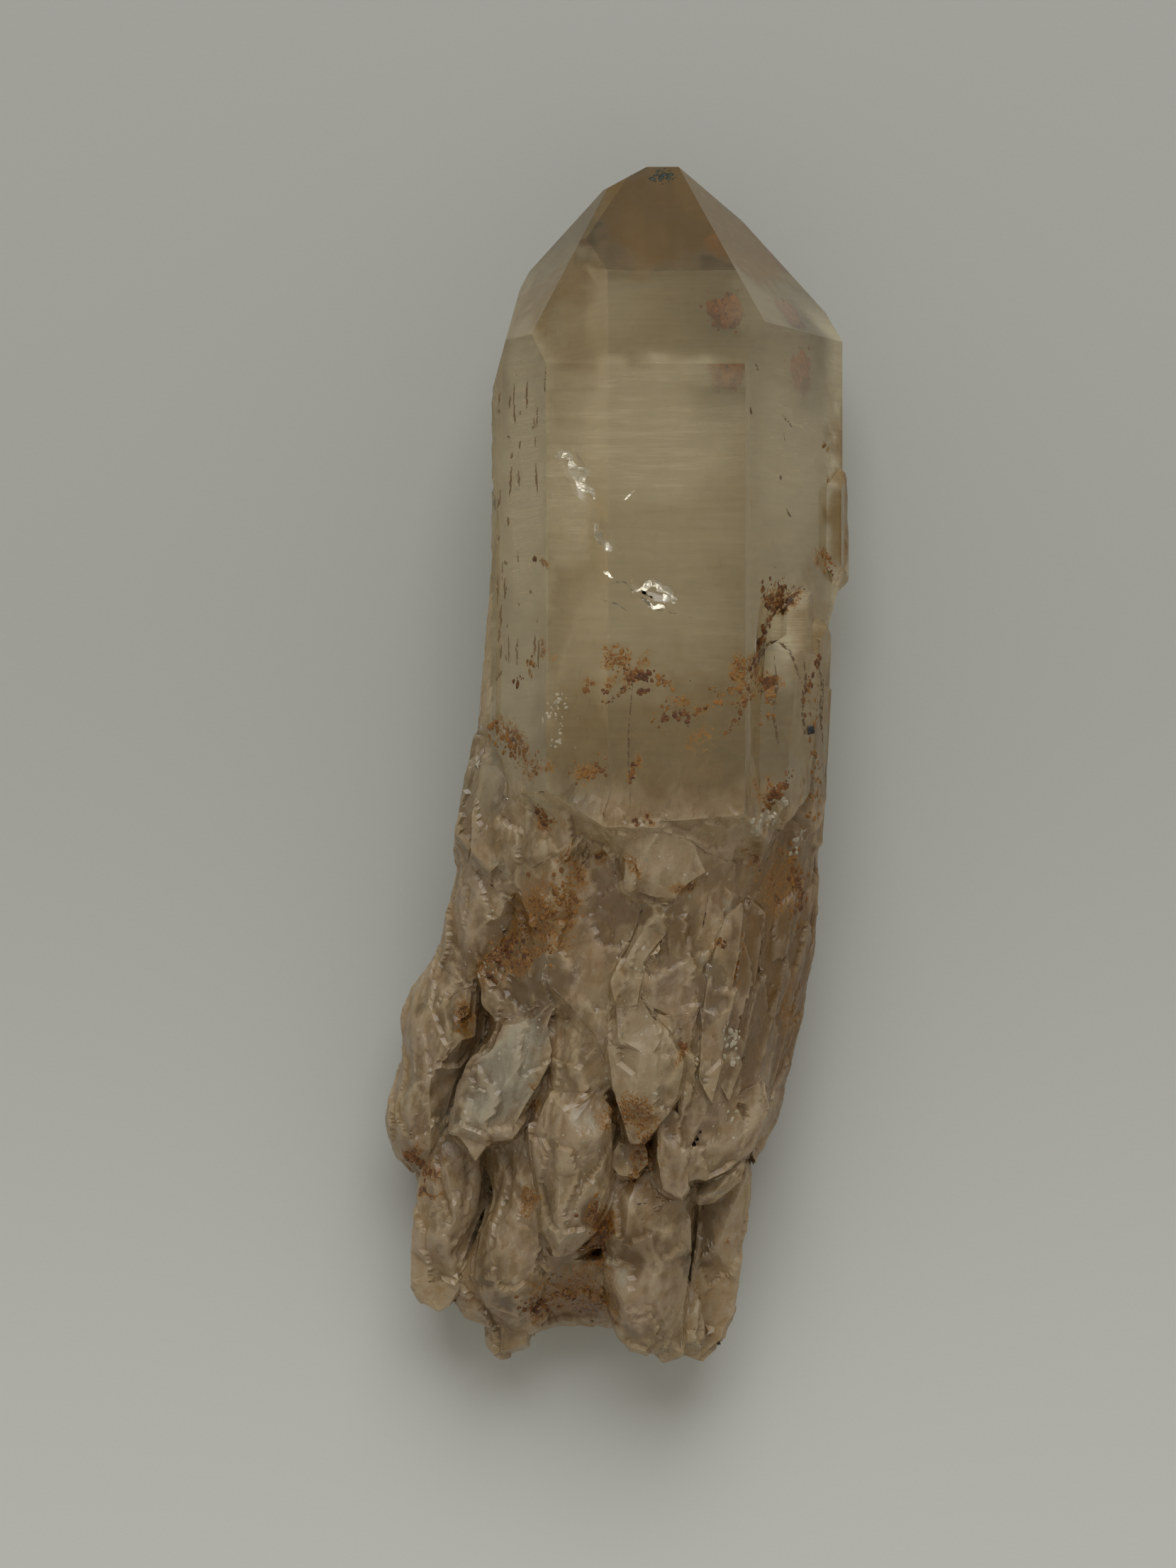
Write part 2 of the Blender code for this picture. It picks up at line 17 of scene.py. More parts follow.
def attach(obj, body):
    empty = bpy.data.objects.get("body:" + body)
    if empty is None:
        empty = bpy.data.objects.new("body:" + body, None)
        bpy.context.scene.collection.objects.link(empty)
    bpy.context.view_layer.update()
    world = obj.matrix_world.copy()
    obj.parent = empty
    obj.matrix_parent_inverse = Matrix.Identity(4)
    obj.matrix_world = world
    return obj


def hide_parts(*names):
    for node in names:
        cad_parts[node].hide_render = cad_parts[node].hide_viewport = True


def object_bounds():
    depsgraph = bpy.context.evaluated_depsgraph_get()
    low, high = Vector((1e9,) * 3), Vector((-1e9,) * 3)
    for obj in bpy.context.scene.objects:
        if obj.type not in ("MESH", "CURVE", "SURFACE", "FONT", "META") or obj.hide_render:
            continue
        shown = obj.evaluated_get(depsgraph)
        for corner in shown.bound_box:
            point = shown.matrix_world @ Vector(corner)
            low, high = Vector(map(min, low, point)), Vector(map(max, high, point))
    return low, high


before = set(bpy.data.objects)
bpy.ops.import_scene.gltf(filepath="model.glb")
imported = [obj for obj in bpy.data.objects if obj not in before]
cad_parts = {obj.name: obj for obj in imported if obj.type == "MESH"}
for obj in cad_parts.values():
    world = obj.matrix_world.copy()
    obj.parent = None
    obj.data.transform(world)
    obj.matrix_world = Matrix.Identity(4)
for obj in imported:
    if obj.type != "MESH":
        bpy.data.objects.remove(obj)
cad_low, cad_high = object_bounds()

MM = 0.001
NODE = "citrine_crystal"

# The right end of the level top face's front edge, as drawn. The frame's own corner there gives the shift
# from drawn places to places in the frame.
DRAWN_CORNER = (6.52, 36.7)

# The view: the camera hangs over the crystal and looks straight down, with the point at the top.
FLOOR_GAP = 0.1
CAMERA_HEIGHT = 320.0
CAMERA_PLACE = (-7.2, 0.0)
FOCUS_HEIGHT = 13.5
VIEW_HEIGHT = 143.1
SENSOR = 36.0

# The sky: its colour, and how light it is from the horizon at 0 to straight up at 1.
SKY_COLOUR = (1.0, 0.955, 0.865)
SKY = ((0.0, 0.20), (0.30, 0.28), (0.55, 0.49), (0.80, 0.48), (0.93, 0.19), (1.0, 0.12))
WINDOW_COLOUR = (0.93, 0.96, 1.0)

# How often light turns on its way, in all, at glossy surfaces and at matt ones.
LIGHT_BOUNCES = 6
GLOSSY_BOUNCES = 3
DIFFUSE_BOUNCES = 2

# The clear quartz: its refraction, and how strongly it takes away each colour over one metre.
QUARTZ_IOR = 1.544
ABSORPTION_DENSITY = 11.8
ABSORPTION_COLOUR = (0.905, 0.645, 0.077, 1.0)

# The fine mesh: longest edges on the smooth prism, on its rusty part and on the sheaf, and where one turns
# into the other.
PRISM_EDGE = 1.2
RUSTY_EDGE = 0.7
RUSTY_TOP_Y = 22.0
SHEAF_EDGE = 0.60
UNDERSIDE_Z = 6.0
UNDERSIDE_TIMES = 2.0
SHEAF_START_Y = 3.0
SHEAF_FULL_Y = -4.0
SPLIT_PASSES = 9
ROUNDING_PASSES = 1
FILLING = 0.60
FILLING_ROUNDS = 6
FILLING_PASSES = 30
FILLING_STEP = 0.8

# Room under the top of the solid's box for the crumbs that lie on the crystal.
TOP_ROOM = 0.13

# Facets that meet at more than this angle, in degrees, meet in a crisp edge.
SHARP_ANGLE = 22.0

# Relief of the sheaf: broken facets large and small, fibres along the growth direction, and fine pits.
LEAN = 0.22
FACET_CELL = (2.9, 5.2, 2.9)
FACET_TILT = 0.19
CHIP_CELL = (1.5, 2.4, 1.5)
CHIP_TILT = 0.05
FIBRE_CELL = (1.1, 8.0, 1.1)
FIBRE_HEIGHT = 0.09
PIT_CELL = 0.9
PIT_HEIGHT = 0.03
RELIEF_LIMIT = 0.55
RELIEF_INSET = 0.08

# How finely and how far the outlines of spots wander.
WARPS = ((2.6, 0.9), (0.8, 0.35))
# Where the wandering noise starts. Without it the noise starts from the clock and each run looks different.
NOISE_START = 1

# Ridges and hollows: averaging passes over neighbours, and the height in millimetres that counts as full.
RIDGE_PASSES = 4
RIDGE_FULL = 0.10
HOLLOW_PASSES = 22
HOLLOW_FULL = 0.55


def corner_shift():
    """How far the frame's places lie from the drawn ones."""
    top = max(vertex.co.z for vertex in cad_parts[NODE].data.vertices)
    level = [v.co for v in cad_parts[NODE].data.vertices if v.co.z > top - 0.01 * MM]
    front = max(place.y for place in level)
    right = max(place.x for place in level if place.y > front - 0.05 * MM)
    return Vector((right - DRAWN_CORNER[0] * MM, front - DRAWN_CORNER[1] * MM, 0.0))


SHIFT = corner_shift()


def place(x, y, z):
    """A drawn place in millimetres as a place in the frame."""
    return Vector((x, y, z)) * MM + SHIFT


def smoothstep(low, high, values):
    """0 below low, 1 above high, and a smooth rise between. low may be the larger one."""
    share = numpy.clip((values - low) / (high - low), 0.0, 1.0)
    return share * share * (3.0 - 2.0 * share)


# What lies on the upper surfaces, as drawn: kind, middle x and y, half width and half length, turn in
# degrees anticlockwise, and strength.
SPOTS = (
    # frosting of the prism
    ("milk", -2.1, 35.6, 8.8, 1.6, 0.0, 0.32),
    ("milk", -2.1, 30.0, 9.6, 6.5, 0.0, 0.34),
    ("milk", -1.0, 22.0, 9.6, 6.0, 0.0, 0.16),
    ("milk", -8.8, 24.5, 2.2, 6.0, 0.0, 0.34),
    ("milk", -12.6, 27.0, 2.6, 16.0, 0.0, 0.36),
    ("milk", -2.0, 13.0, 9.0, 7.0, 0.0, 0.20),
    ("milk", 2.0, 22.5, 4.0, 3.0, 0.0, 0.16),
    ("milk", 11.0, 30.0, 4.5, 9.0, 0.0, 0.28),
    ("milk", -6.0, 42.0, 5.0, 3.2, 0.0, 0.08),
    ("milk", 8.6, 43.0, 3.0, 3.0, 0.0, 0.12),
    ("milk", -13.0, 9.0, 2.6, 7.0, 0.0, 0.26),
    ("milk", 11.4, 13.6, 3.0, 4.6, 0.0, 0.50),
    # rust on the prism's face
    ("rust", 9.9, 16.5, 1.3, 0.9, 0.0, 1.0),
    ("rust", 6.6, 9.8, 1.6, 1.2, 20.0, 0.62),
    ("rust", 8.9, 9.6, 0.9, 0.8, 0.0, 0.95),
    ("rust", 6.2, 7.7, 1.2, 0.5, 20.0, 0.75),
    ("rust", 1.6, 7.0, 2.4, 0.35, -8.0, 0.70),
    ("rust", 3.0, 6.8, 0.5, 0.5, 0.0, 0.95),
    ("rust", -3.2, 9.9, 1.5, 0.6, 18.0, 0.75),
    ("rust", -4.6, 11.0, 1.0, 0.9, 0.0, 0.60),
    ("rust", -5.6, 9.0, 0.5, 0.4, 0.0, 0.85),
    ("rust", -7.2, 9.3, 0.35, 0.4, 0.0, 0.95),
    ("rust", -11.3, 11.5, 0.7, 0.7, 0.0, 0.72),
    ("rust", -12.3, 9.8, 0.45, 0.7, 0.0, 0.80),
    ("rust", -10.9, 19.7, 0.4, 0.4, 0.0, 0.80),
    ("rust", -14.2, 4.6, 1.0, 2.0, 24.0, 0.68),
    ("rust", -13.0, 2.8, 1.5, 0.7, -30.0, 0.80),
    ("rust", -11.0, 1.6, 1.8, 0.5, 10.0, 0.55),
    ("rust", -11.2, -2.9, 0.9, 0.8, -40.0, 0.95),
    ("rust", -9.6, -3.1, 0.8, 0.6, 0.0, 0.60),
    ("rust", -6.9, 0.9, 1.6, 0.7, 20.0, 0.68),
    ("rust", -3.3, 1.9, 0.4, 1.2, -6.0, 0.80),
    ("rust", 2.6, 4.0, 0.9, 1.4, -20.0, 0.45),
    ("rust", -2.2, -3.2, 0.5, 0.4, 0.0, 0.90),
    ("rust", 8.3, -0.4, 0.7, 1.6, -24.0, 0.85),
    ("rust", 14.4, 20.5, 0.8, 1.0, 0.0, 0.55),
    # rust of the sheaf
    ("rust", -11.6, -11.6, 2.8, 2.8, 0.0, 0.60),
    ("rust", -14.6, -14.2, 0.8, 4.2, -32.0, 0.85),
    ("rust", -12.0, -15.8, 3.4, 0.7, 24.0, 0.72),
    ("rust", -8.8, -9.5, 0.6, 4.4, 0.0, 0.66),
    ("rust", -17.9, -21.6, 1.2, 1.8, 0.0, 0.80),
    ("rust", -23.6, -33.9, 0.9, 0.8, 0.0, 0.95),
    ("rust", -21.6, -35.0, 0.5, 1.2, -20.0, 0.90),
    ("rust", -21.2, -37.6, 0.3, 0.8, -30.0, 0.90),
    ("rust", -6.2, -41.0, 0.9, 3.0, 4.0, 0.90),
    ("rust", -2.2, -33.0, 0.7, 3.0, -16.0, 0.85),
    ("rust", -3.4, -29.4, 2.4, 1.8, 0.0, 0.56),
    ("rust", -12.6, -28.4, 0.7, 1.6, -24.0, 0.66),
    ("rust", -12.2, -38.0, 1.0, 1.6, 0.0, 0.55),
    ("rust", -8.4, -46.6, 3.8, 2.2, 0.0, 0.62),
    ("rust", -12.0, -47.4, 0.6, 1.6, -16.0, 0.90),
    ("rust", -6.6, -48.3, 2.0, 0.5, -12.0, 0.90),
    ("rust", -18.6, -47.4, 0.7, 0.4, 0.0, 0.80),
    ("rust", -6.3, -6.0, 0.7, 0.6, 0.0, 0.85),
    ("rust", -3.2, -7.4, 0.4, 1.6, 0.0, 0.62),
    ("rust", 1.0, -9.6, 1.2, 0.5, 40.0, 0.75),
    ("rust", 1.3, -23.7, 0.5, 0.5, 0.0, 0.95),
    ("rust", 5.0, -14.2, 0.4, 0.4, 0.0, 0.95),
    ("rust", 6.6, -15.6, 0.25, 3.2, -9.0, 0.85),
    ("rust", 7.2, -7.0, 0.3, 1.4, -12.0, 0.80),
    ("rust", 9.8, -9.0, 1.6, 3.4, -6.0, 0.60),
    ("rust", 12.0, -10.0, 0.5, 2.4, -6.0, 0.90),
    ("rust", 11.4, -20.0, 0.6, 3.0, -6.0, 0.62),
    ("rust", 6.2, -42.4, 0.5, 1.0, 0.0, 0.55),
    # brown tints that shine through
    ("tint", 16.2, 27.0, 1.6, 10.0, 0.0, 0.80),
    ("tint", -0.4, 51.5, 7.0, 6.0, 0.0, 1.00),
    ("tint", 6.4, 49.6, 3.0, 6.0, 40.0, 1.00),
    ("tint", -10.4, 43.6, 3.0, 5.0, -30.0, 0.55),
    ("tint", 13.0, 8.0, 2.6, 14.0, 0.0, 0.60),
    ("tint", 12.6, -24.0, 2.6, 12.0, -8.0, 0.75),
    ("tint", 3.0, -44.0, 3.0, 8.0, 0.0, 0.45),
    ("tint", -22.6, -33.0, 2.0, 5.0, -10.0, 0.50),
    ("tint", -16.4, -44.0, 1.6, 7.0, 0.0, 0.45),
    ("tint", 9.6, -12.0, 4.0, 11.0, -8.0, 0.85),
    ("tint", 7.0, -24.0, 2.6, 6.0, -12.0, 0.60),
    ("tint", 11.6, -18.0, 2.4, 9.0, -8.0, 1.00),
    ("tint", 2.0, 3.6, 12.0, 10.0, 0.0, 0.44),
    ("tint", -6.0, 4.0, 9.0, 7.0, 0.0, 0.30),
    ("tint", -11.8, -12.4, 3.6, 3.4, 0.0, 0.80),
    ("tint", -14.8, -15.6, 3.6, 3.0, -30.0, 0.70),
    ("tint", -17.6, -6.0, 1.6, 5.0, 0.0, 0.30),
    ("tint", -17.6, -24.0, 2.0, 6.0, -14.0, 0.60),
    ("tint", -6.6, -41.0, 1.4, 4.0, 4.0, 0.90),
    ("tint", -8.4, -47.6, 4.6, 3.0, 0.0, 0.80),
    ("tint", -4.0, -33.0, 3.4, 2.4, 0.0, 0.50),
    ("tint", -1.6, -36.6, 1.4, 3.0, 10.0, 0.60),
    ("tint", -6.0, -12.6, 2.6, 5.0, 0.0, 0.45),
    ("tint", -2.6, -41.8, 2.2, 3.6, 0.0, 0.75),
    ("tint", -14.9, -51.0, 2.0, 2.0, 0.0, 0.45),
    ("tint", 4.5, -30.7, 2.4, 2.6, 0.0, 0.38),
    ("tint", 0.6, -32.0, 1.2, 4.0, 8.0, 0.55),
    ("tint", 4.5, -9.3, 2.4, 3.0, 0.0, 0.45),
    ("tint", 1.3, -13.0, 1.8, 2.6, 0.0, 0.60),
    ("tint", -7.2, -28.1, 1.6, 1.6, 0.0, 0.40),
    # crusts and white plates
    ("cream", -0.6, -6.2, 4.2, 4.2, 0.0, 0.95),
    ("cream", -2.6, -14.6, 1.2, 5.6, -26.0, 0.95),
    ("cream", -2.4, -24.6, 3.2, 6.6, 0.0, 1.00),
    ("cream", -6.8, -19.4, 1.2, 1.6, 0.0, 0.70),
    ("cream", -8.4, -33.4, 3.6, 4.6, 0.0, 0.50),
    ("cream", -9.2, -40.4, 2.4, 2.2, 0.0, 0.62),
    ("cream", 0.4, -49.4, 1.4, 3.4, 0.0, 0.75),
    ("cream", 2.6, -36.6, 1.0, 1.8, -20.0, 0.70),
    ("cream", -21.6, -44.8, 2.4, 3.4, 0.0, 0.55),
    ("white", -15.2, -26.4, 3.4, 6.4, -28.0, 0.90),
    ("white", -11.6, -22.0, 1.6, 2.6, -18.0, 0.80),
    ("white", -7.2, -29.8, 2.4, 1.4, 0.0, 0.60),
    ("white", 5.8, -23.6, 0.7, 1.7, 16.0, 0.90),
    ("white", 4.8, -30.6, 3.4, 3.0, 0.0, 0.36),
    ("white", -3.4, -33.7, 1.6, 1.4, 0.0, 0.60),
    ("white", 8.3, -2.9, 0.8, 2.4, -46.0, 0.85),
    ("white", 11.0, -5.2, 0.7, 1.4, -14.0, 0.80),
    ("white", -4.6, -44.4, 0.8, 1.5, 8.0, 0.80),
    ("white", 4.6, -36.6, 3.0, 0.5, 28.0, 0.75),
    ("white", 5.2, -10.6, 0.5, 1.3, 0.0, 0.70),
    ("white", 3.2, -15.6, 0.8, 0.9, 0.0, 0.60),
    ("white", -14.9, -7.6, 1.4, 0.9, 0.0, 0.55),
    # smoky, clear places of the sheaf
    ("smoke", -5.8, -9.6, 2.2, 5.6, 4.0, 0.65),
    ("smoke", -12.0, -18.4, 3.6, 2.6, 20.0, 0.85),
    ("smoke", -2.6, -11.2, 1.3, 1.8, -20.0, 0.85),
    ("smoke", -0.6, -16.6, 1.6, 2.6, -10.0, 0.55),
    ("smoke", 3.6, -18.8, 1.2, 4.0, -6.0, 0.75),
    ("smoke", -15.6, -35.0, 1.6, 3.6, 8.0, 0.45),
    ("smoke", -19.2, -28.0, 0.9, 5.0, -16.0, 0.80),
    ("smoke", 3.2, -42.0, 1.1, 4.6, -10.0, 0.80),
    ("smoke", -14.8, -49.4, 2.2, 2.6, 0.0, 0.80),
    ("smoke", 8.6, -16.0, 3.2, 9.0, -10.0, 0.50),
    ("smoke", 3.0, 1.0, 5.0, 4.0, 0.0, 0.40),
)
SPOT_KINDS = ("milk", "rust", "tint", "cream", "white", "smoke")

# The prism's underside is etched and milky: from which height down, and how far towards the point.
UNDER_Z = (14.0, 11.0)
UNDER_Y = (46.0, 41.0)
UPPER_SIDE_Z = (5.0, 9.0)


def wandered(points):
    """The points moved about by noise, so that what is drawn over them gets uneven outlines."""
    noise.seed_set(NOISE_START)
    moved = points.copy()
    for size, reach in WARPS:
        moves = [noise.noise_vector(Vector(point) / size) for point in points]
        moved += numpy.array([tuple(move) for move in moves]) * reach * 1.6
    return moved


def spot_weights(points, kind):
    """How strongly each point is covered by the spots of one kind."""
    total = numpy.zeros(len(points))
    for spot_kind, x, y, half_width, half_length, turn, strength in SPOTS:
        if spot_kind != kind:
            continue
        angle = math.radians(turn)
        across, along = points[:, 0] - x, points[:, 1] - y
        u = (across * math.cos(angle) + along * math.sin(angle)) / half_width
        v = (along * math.cos(angle) - across * math.sin(angle)) / half_length
        near = smoothstep(1.5, 0.35, numpy.sqrt(u * u + v * v))
        total = numpy.maximum(total, near * strength)
    return total * smoothstep(*UPPER_SIDE_Z, points[:, 2])


def sheaf_share(points):
    """0 on the clear prism and 1 on the sheaf, by the place along the crystal and off the prism's faces."""
    wander = numpy.array([noise.noise(Vector(point) * 0.35) for point in points])
    along = points[:, 1] + 2.0 * wander
    flank = (points[:, 0] < -15.9) | (points[:, 0] > 16.4)
    return numpy.maximum(smoothstep(SHEAF_START_Y, SHEAF_FULL_Y, along), 0.7 * flank)


def drawn_points(mesh):
    """The vertices of a mesh as drawn places, in rows."""
    flat = numpy.empty(len(mesh.vertices) * 3)
    mesh.vertices.foreach_get("co", flat)
    return (flat.reshape(-1, 3) - numpy.array(SHIFT)) / MM


def write_values(mesh, name, values):
    """Stores one number for each vertex, which the material reads."""
    attribute = mesh.attributes.new(name, "FLOAT", "POINT")
    attribute.data.foreach_set("value", numpy.asarray(values, dtype=numpy.float32))


# Mesh


def wanted_edge(middle):
    """The longest edge wanted at a place: short on the sheaf, longer on the prism."""
    y = (middle.y - SHIFT.y) / MM
    prism = RUSTY_EDGE if y < RUSTY_TOP_Y and middle.z > 9.0 * MM else PRISM_EDGE
    share = min(max((y - SHEAF_FULL_Y) / 8.0, 0.0), 1.0)
    wanted = SHEAF_EDGE + (prism - SHEAF_EDGE) * share
    if middle.z < UNDERSIDE_Z * MM:
        wanted = min(wanted * UNDERSIDE_TIMES, PRISM_EDGE)
    return wanted * MM


def split_long_edges(mesh):
    """Splits every edge longer than is wanted where it lies."""
    for _ in range(SPLIT_PASSES):
        long_edges = []
        for edge in mesh.edges:
            first, last = edge.verts
            if edge.calc_length() > wanted_edge((first.co + last.co) / 2.0):
                long_edges.append(edge)
        if not long_edges:
            break
        bmesh.ops.subdivide_edges(mesh, edges=long_edges, cuts=1)
        bmesh.ops.triangulate(mesh, faces=[face for face in mesh.faces if len(face.verts) > 3])


def in_cells(point, cell):
    """A place counted in cells of uneven sides."""
    return Vector([point[axis] / cell[axis] for axis in range(3)])


def facets(place_in_cells):
    """The height of flat facets, each tilted its own way."""
    _, centres = noise.voronoi(place_in_cells)
    tilt = noise.cell_vector(centres[0] * 7.3)
    return tilt.dot(place_in_cells - centres[0]) * 2.0


def relief(point):
    """How far the sheaf's surface stands out at a drawn place: broken facets, fibres and pits."""
    leaning = Vector((point.x - LEAN * point.y, point.y, point.z))
    height = FACET_TILT * facets(in_cells(leaning, FACET_CELL))
    height += CHIP_TILT * facets(in_cells(leaning, CHIP_CELL))
    height += FIBRE_HEIGHT * noise.noise(in_cells(leaning, FIBRE_CELL))
    return height + PIT_HEIGHT * noise.noise(point / PIT_CELL)


def mesh_rows(mesh):
    """The drawn places of a mesh's vertices while it is being shaped, in rows."""
    return numpy.array([tuple((vertex.co - SHIFT) / MM) for vertex in mesh.verts])


def fill_hollows(mesh, shares):
    """Partly fills the sheaf's crevices, where its crystals have grown together."""
    mesh.verts.index_update()
    ends = numpy.array([[vertex.index for vertex in edge.verts] for edge in mesh.edges]).reshape(-1)
    for _ in range(FILLING_ROUNDS):
        mesh.normal_update()
        normals = numpy.array([tuple(vertex.normal) for vertex in mesh.verts])
        depths = -standing_out(mesh_rows(mesh), normals, ends, FILLING_PASSES)
        steps = FILLING * numpy.clip(depths, 0.0, FILLING_STEP) * shares
        moves = averaged(outward(normals, ends, FILLING_PASSES // 3) * steps[:, None], ends, 3)
        for vertex, move in zip(mesh.verts, moves):
            resting = min(max(vertex.co.z / (4.0 * MM), 0.0), 1.0)
            vertex.co += Vector(move) * (resting * MM)


def fine_crystal():
    """The crystal's visible mesh: the solid with its edges split, and relief on the sheaf."""
    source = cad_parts[NODE].data
    mesh = bmesh.new()
    mesh.from_mesh(source)
    bmesh.ops.remove_doubles(mesh, verts=mesh.verts, dist=0.002 * MM)
    bmesh.ops.triangulate(mesh, faces=mesh.faces[:])
    split_long_edges(mesh)
    points = mesh_rows(mesh)
    shares = sheaf_share(points)
    rough = [vertex for vertex, share in zip(mesh.verts, shares) if share > 0.5]
    for _ in range(ROUNDING_PASSES):
        bmesh.ops.smooth_vert(
            mesh, verts=rough, factor=0.5, use_axis_x=True, use_axis_y=True, use_axis_z=True
        )
    fill_hollows(mesh, shares)
    mesh.normal_update()
    moves = []
    for vertex, row, share in zip(mesh.verts, points, shares):
        point = Vector(row)
        height = max(min(relief(point), RELIEF_LIMIT), -RELIEF_LIMIT) - RELIEF_INSET
        resting = min(max(point.z / 2.0, 0.0), 1.0)
        moves.append(vertex.normal * (height * share * resting * MM))
    for vertex, move in zip(mesh.verts, moves):
        vertex.co += move
        vertex.co.x = min(max(vertex.co.x, cad_low.x), cad_high.x)
        vertex.co.y = min(max(vertex.co.y, cad_low.y), cad_high.y)
        vertex.co.z = min(max(vertex.co.z, cad_low.z), cad_high.z) * (1.0 - TOP_ROOM * MM / cad_high.z)
    mesh.normal_update()
    for edge in mesh.edges:
        edge.smooth = edge.calc_face_angle(0.0) < math.radians(SHARP_ANGLE)
    data = bpy.data.meshes.new("crystal")
    mesh.to_mesh(data)
    mesh.free()
    return data


def averaged(values, ends, passes):
    """Each vertex's values averaged over its neighbours, again and again."""
    first, second = ends[0::2], ends[1::2]
    count = 1.0 + numpy.bincount(ends, minlength=len(values))
    for _ in range(passes):
        columns = []
        for column in values.T:
            total = column + numpy.bincount(first, column[second], len(column))
            total += numpy.bincount(second, column[first], len(column))
            columns.append(total / count)
        values = numpy.array(columns).T
    return values


def outward(normals, ends, passes):
    """Each vertex's way outward, averaged over its surroundings."""
    normals = averaged(normals, ends, passes)
    return normals / numpy.sqrt((normals * normals).sum(axis=1))[:, None]


def standing_out(points, normals, ends, passes):
    """How far each vertex stands out of its surroundings: over 0 on ridges, under 0 in hollows."""
    away = points - averaged(points, ends, passes)
    return (away * outward(normals, ends, passes // 2)).sum(axis=1)


def make_crystal():
    """The crystal as a piece that stands for its solid."""
    data = fine_crystal()
    points = drawn_points(data)
    normals = numpy.empty(len(points) * 3)
    data.vertices.foreach_get("normal", normals)
    normals = normals.reshape(-1, 3)
    ends = numpy.empty(len(data.edges) * 2, dtype=numpy.int64)
    data.edges.foreach_get("vertices", ends)
    ridges = standing_out(points, normals, ends, RIDGE_PASSES)
    hollows = -standing_out(points, normals, ends, HOLLOW_PASSES)
    write_values(data, "sheaf", sheaf_share(points))
    write_values(data, "ridge", smoothstep(0.0, RIDGE_FULL, ridges))
    write_values(data, "hollow", smoothstep(0.0, HOLLOW_FULL, hollows))
    write_values(data, "under", smoothstep(*UNDER_Z, points[:, 2]) * smoothstep(*UNDER_Y, points[:, 1]))
    spotted = wandered(points)
    for kind in SPOT_KINDS:
        write_values(data, kind, spot_weights(spotted, kind))
    piece = bpy.data.objects.new("crystal", data)
    bpy.context.scene.collection.objects.link(piece)
    data.polygons.foreach_set("use_smooth", [True] * len(data.polygons))
    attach(piece, "root")
    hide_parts(NODE)
    print("crystal triangles", len(data.polygons))
    return piece


# Materials


class Signal:
    """A number from a node, usable in sums, products and powers with numbers and other signals."""

    def __init__(self, graph, socket):
        self.graph = graph
        self.socket = socket

    def made(self, operation, first, second=None):
        """A Math node's output."""
        inputs = {0: first} if second is None else {0: first, 1: second}
        return self.graph.add("ShaderNodeMath", {"operation": operation}, inputs).out("Value")

    def __add__(self, other):
        return self.made("ADD", self, other)

    def __radd__(self, other):
        return self.made("ADD", other, self)

    def __sub__(self, other):
        return self.made("SUBTRACT", self, other)

    def __rsub__(self, other):
        return self.made("SUBTRACT", other, self)

    def __mul__(self, other):
        return self.made("MULTIPLY", self, other)

    def __rmul__(self, other):
        return self.made("MULTIPLY", other, self)

    def __truediv__(self, other):
        return self.made("DIVIDE", self, other)

    def __rtruediv__(self, other):
        return self.made("DIVIDE", other, self)

    def __pow__(self, other):
        return self.made("POWER", self, other)

    def over(self, other):
        """The larger of this and another."""
        return self.made("MAXIMUM", self, other)

    def under(self, other):
        """The smaller of this and another."""
        return self.made("MINIMUM", self, other)

    def rise(self, low, high):
        """0 below low, 1 above high, and a smooth rise between."""
        ranged = {"Value": self, "From Min": low, "From Max": high}
        return self.graph.add("ShaderNodeMapRange", {"interpolation_type": "SMOOTHSTEP"}, ranged).out("Result")


class Added:
    """A node in a material, with its outputs by name."""

    def __init__(self, graph, node):
        self.graph = graph
        self.node = node

    def out(self, name):
        """One of the node's outputs."""
        return Signal(self.graph, self.node.outputs[name])


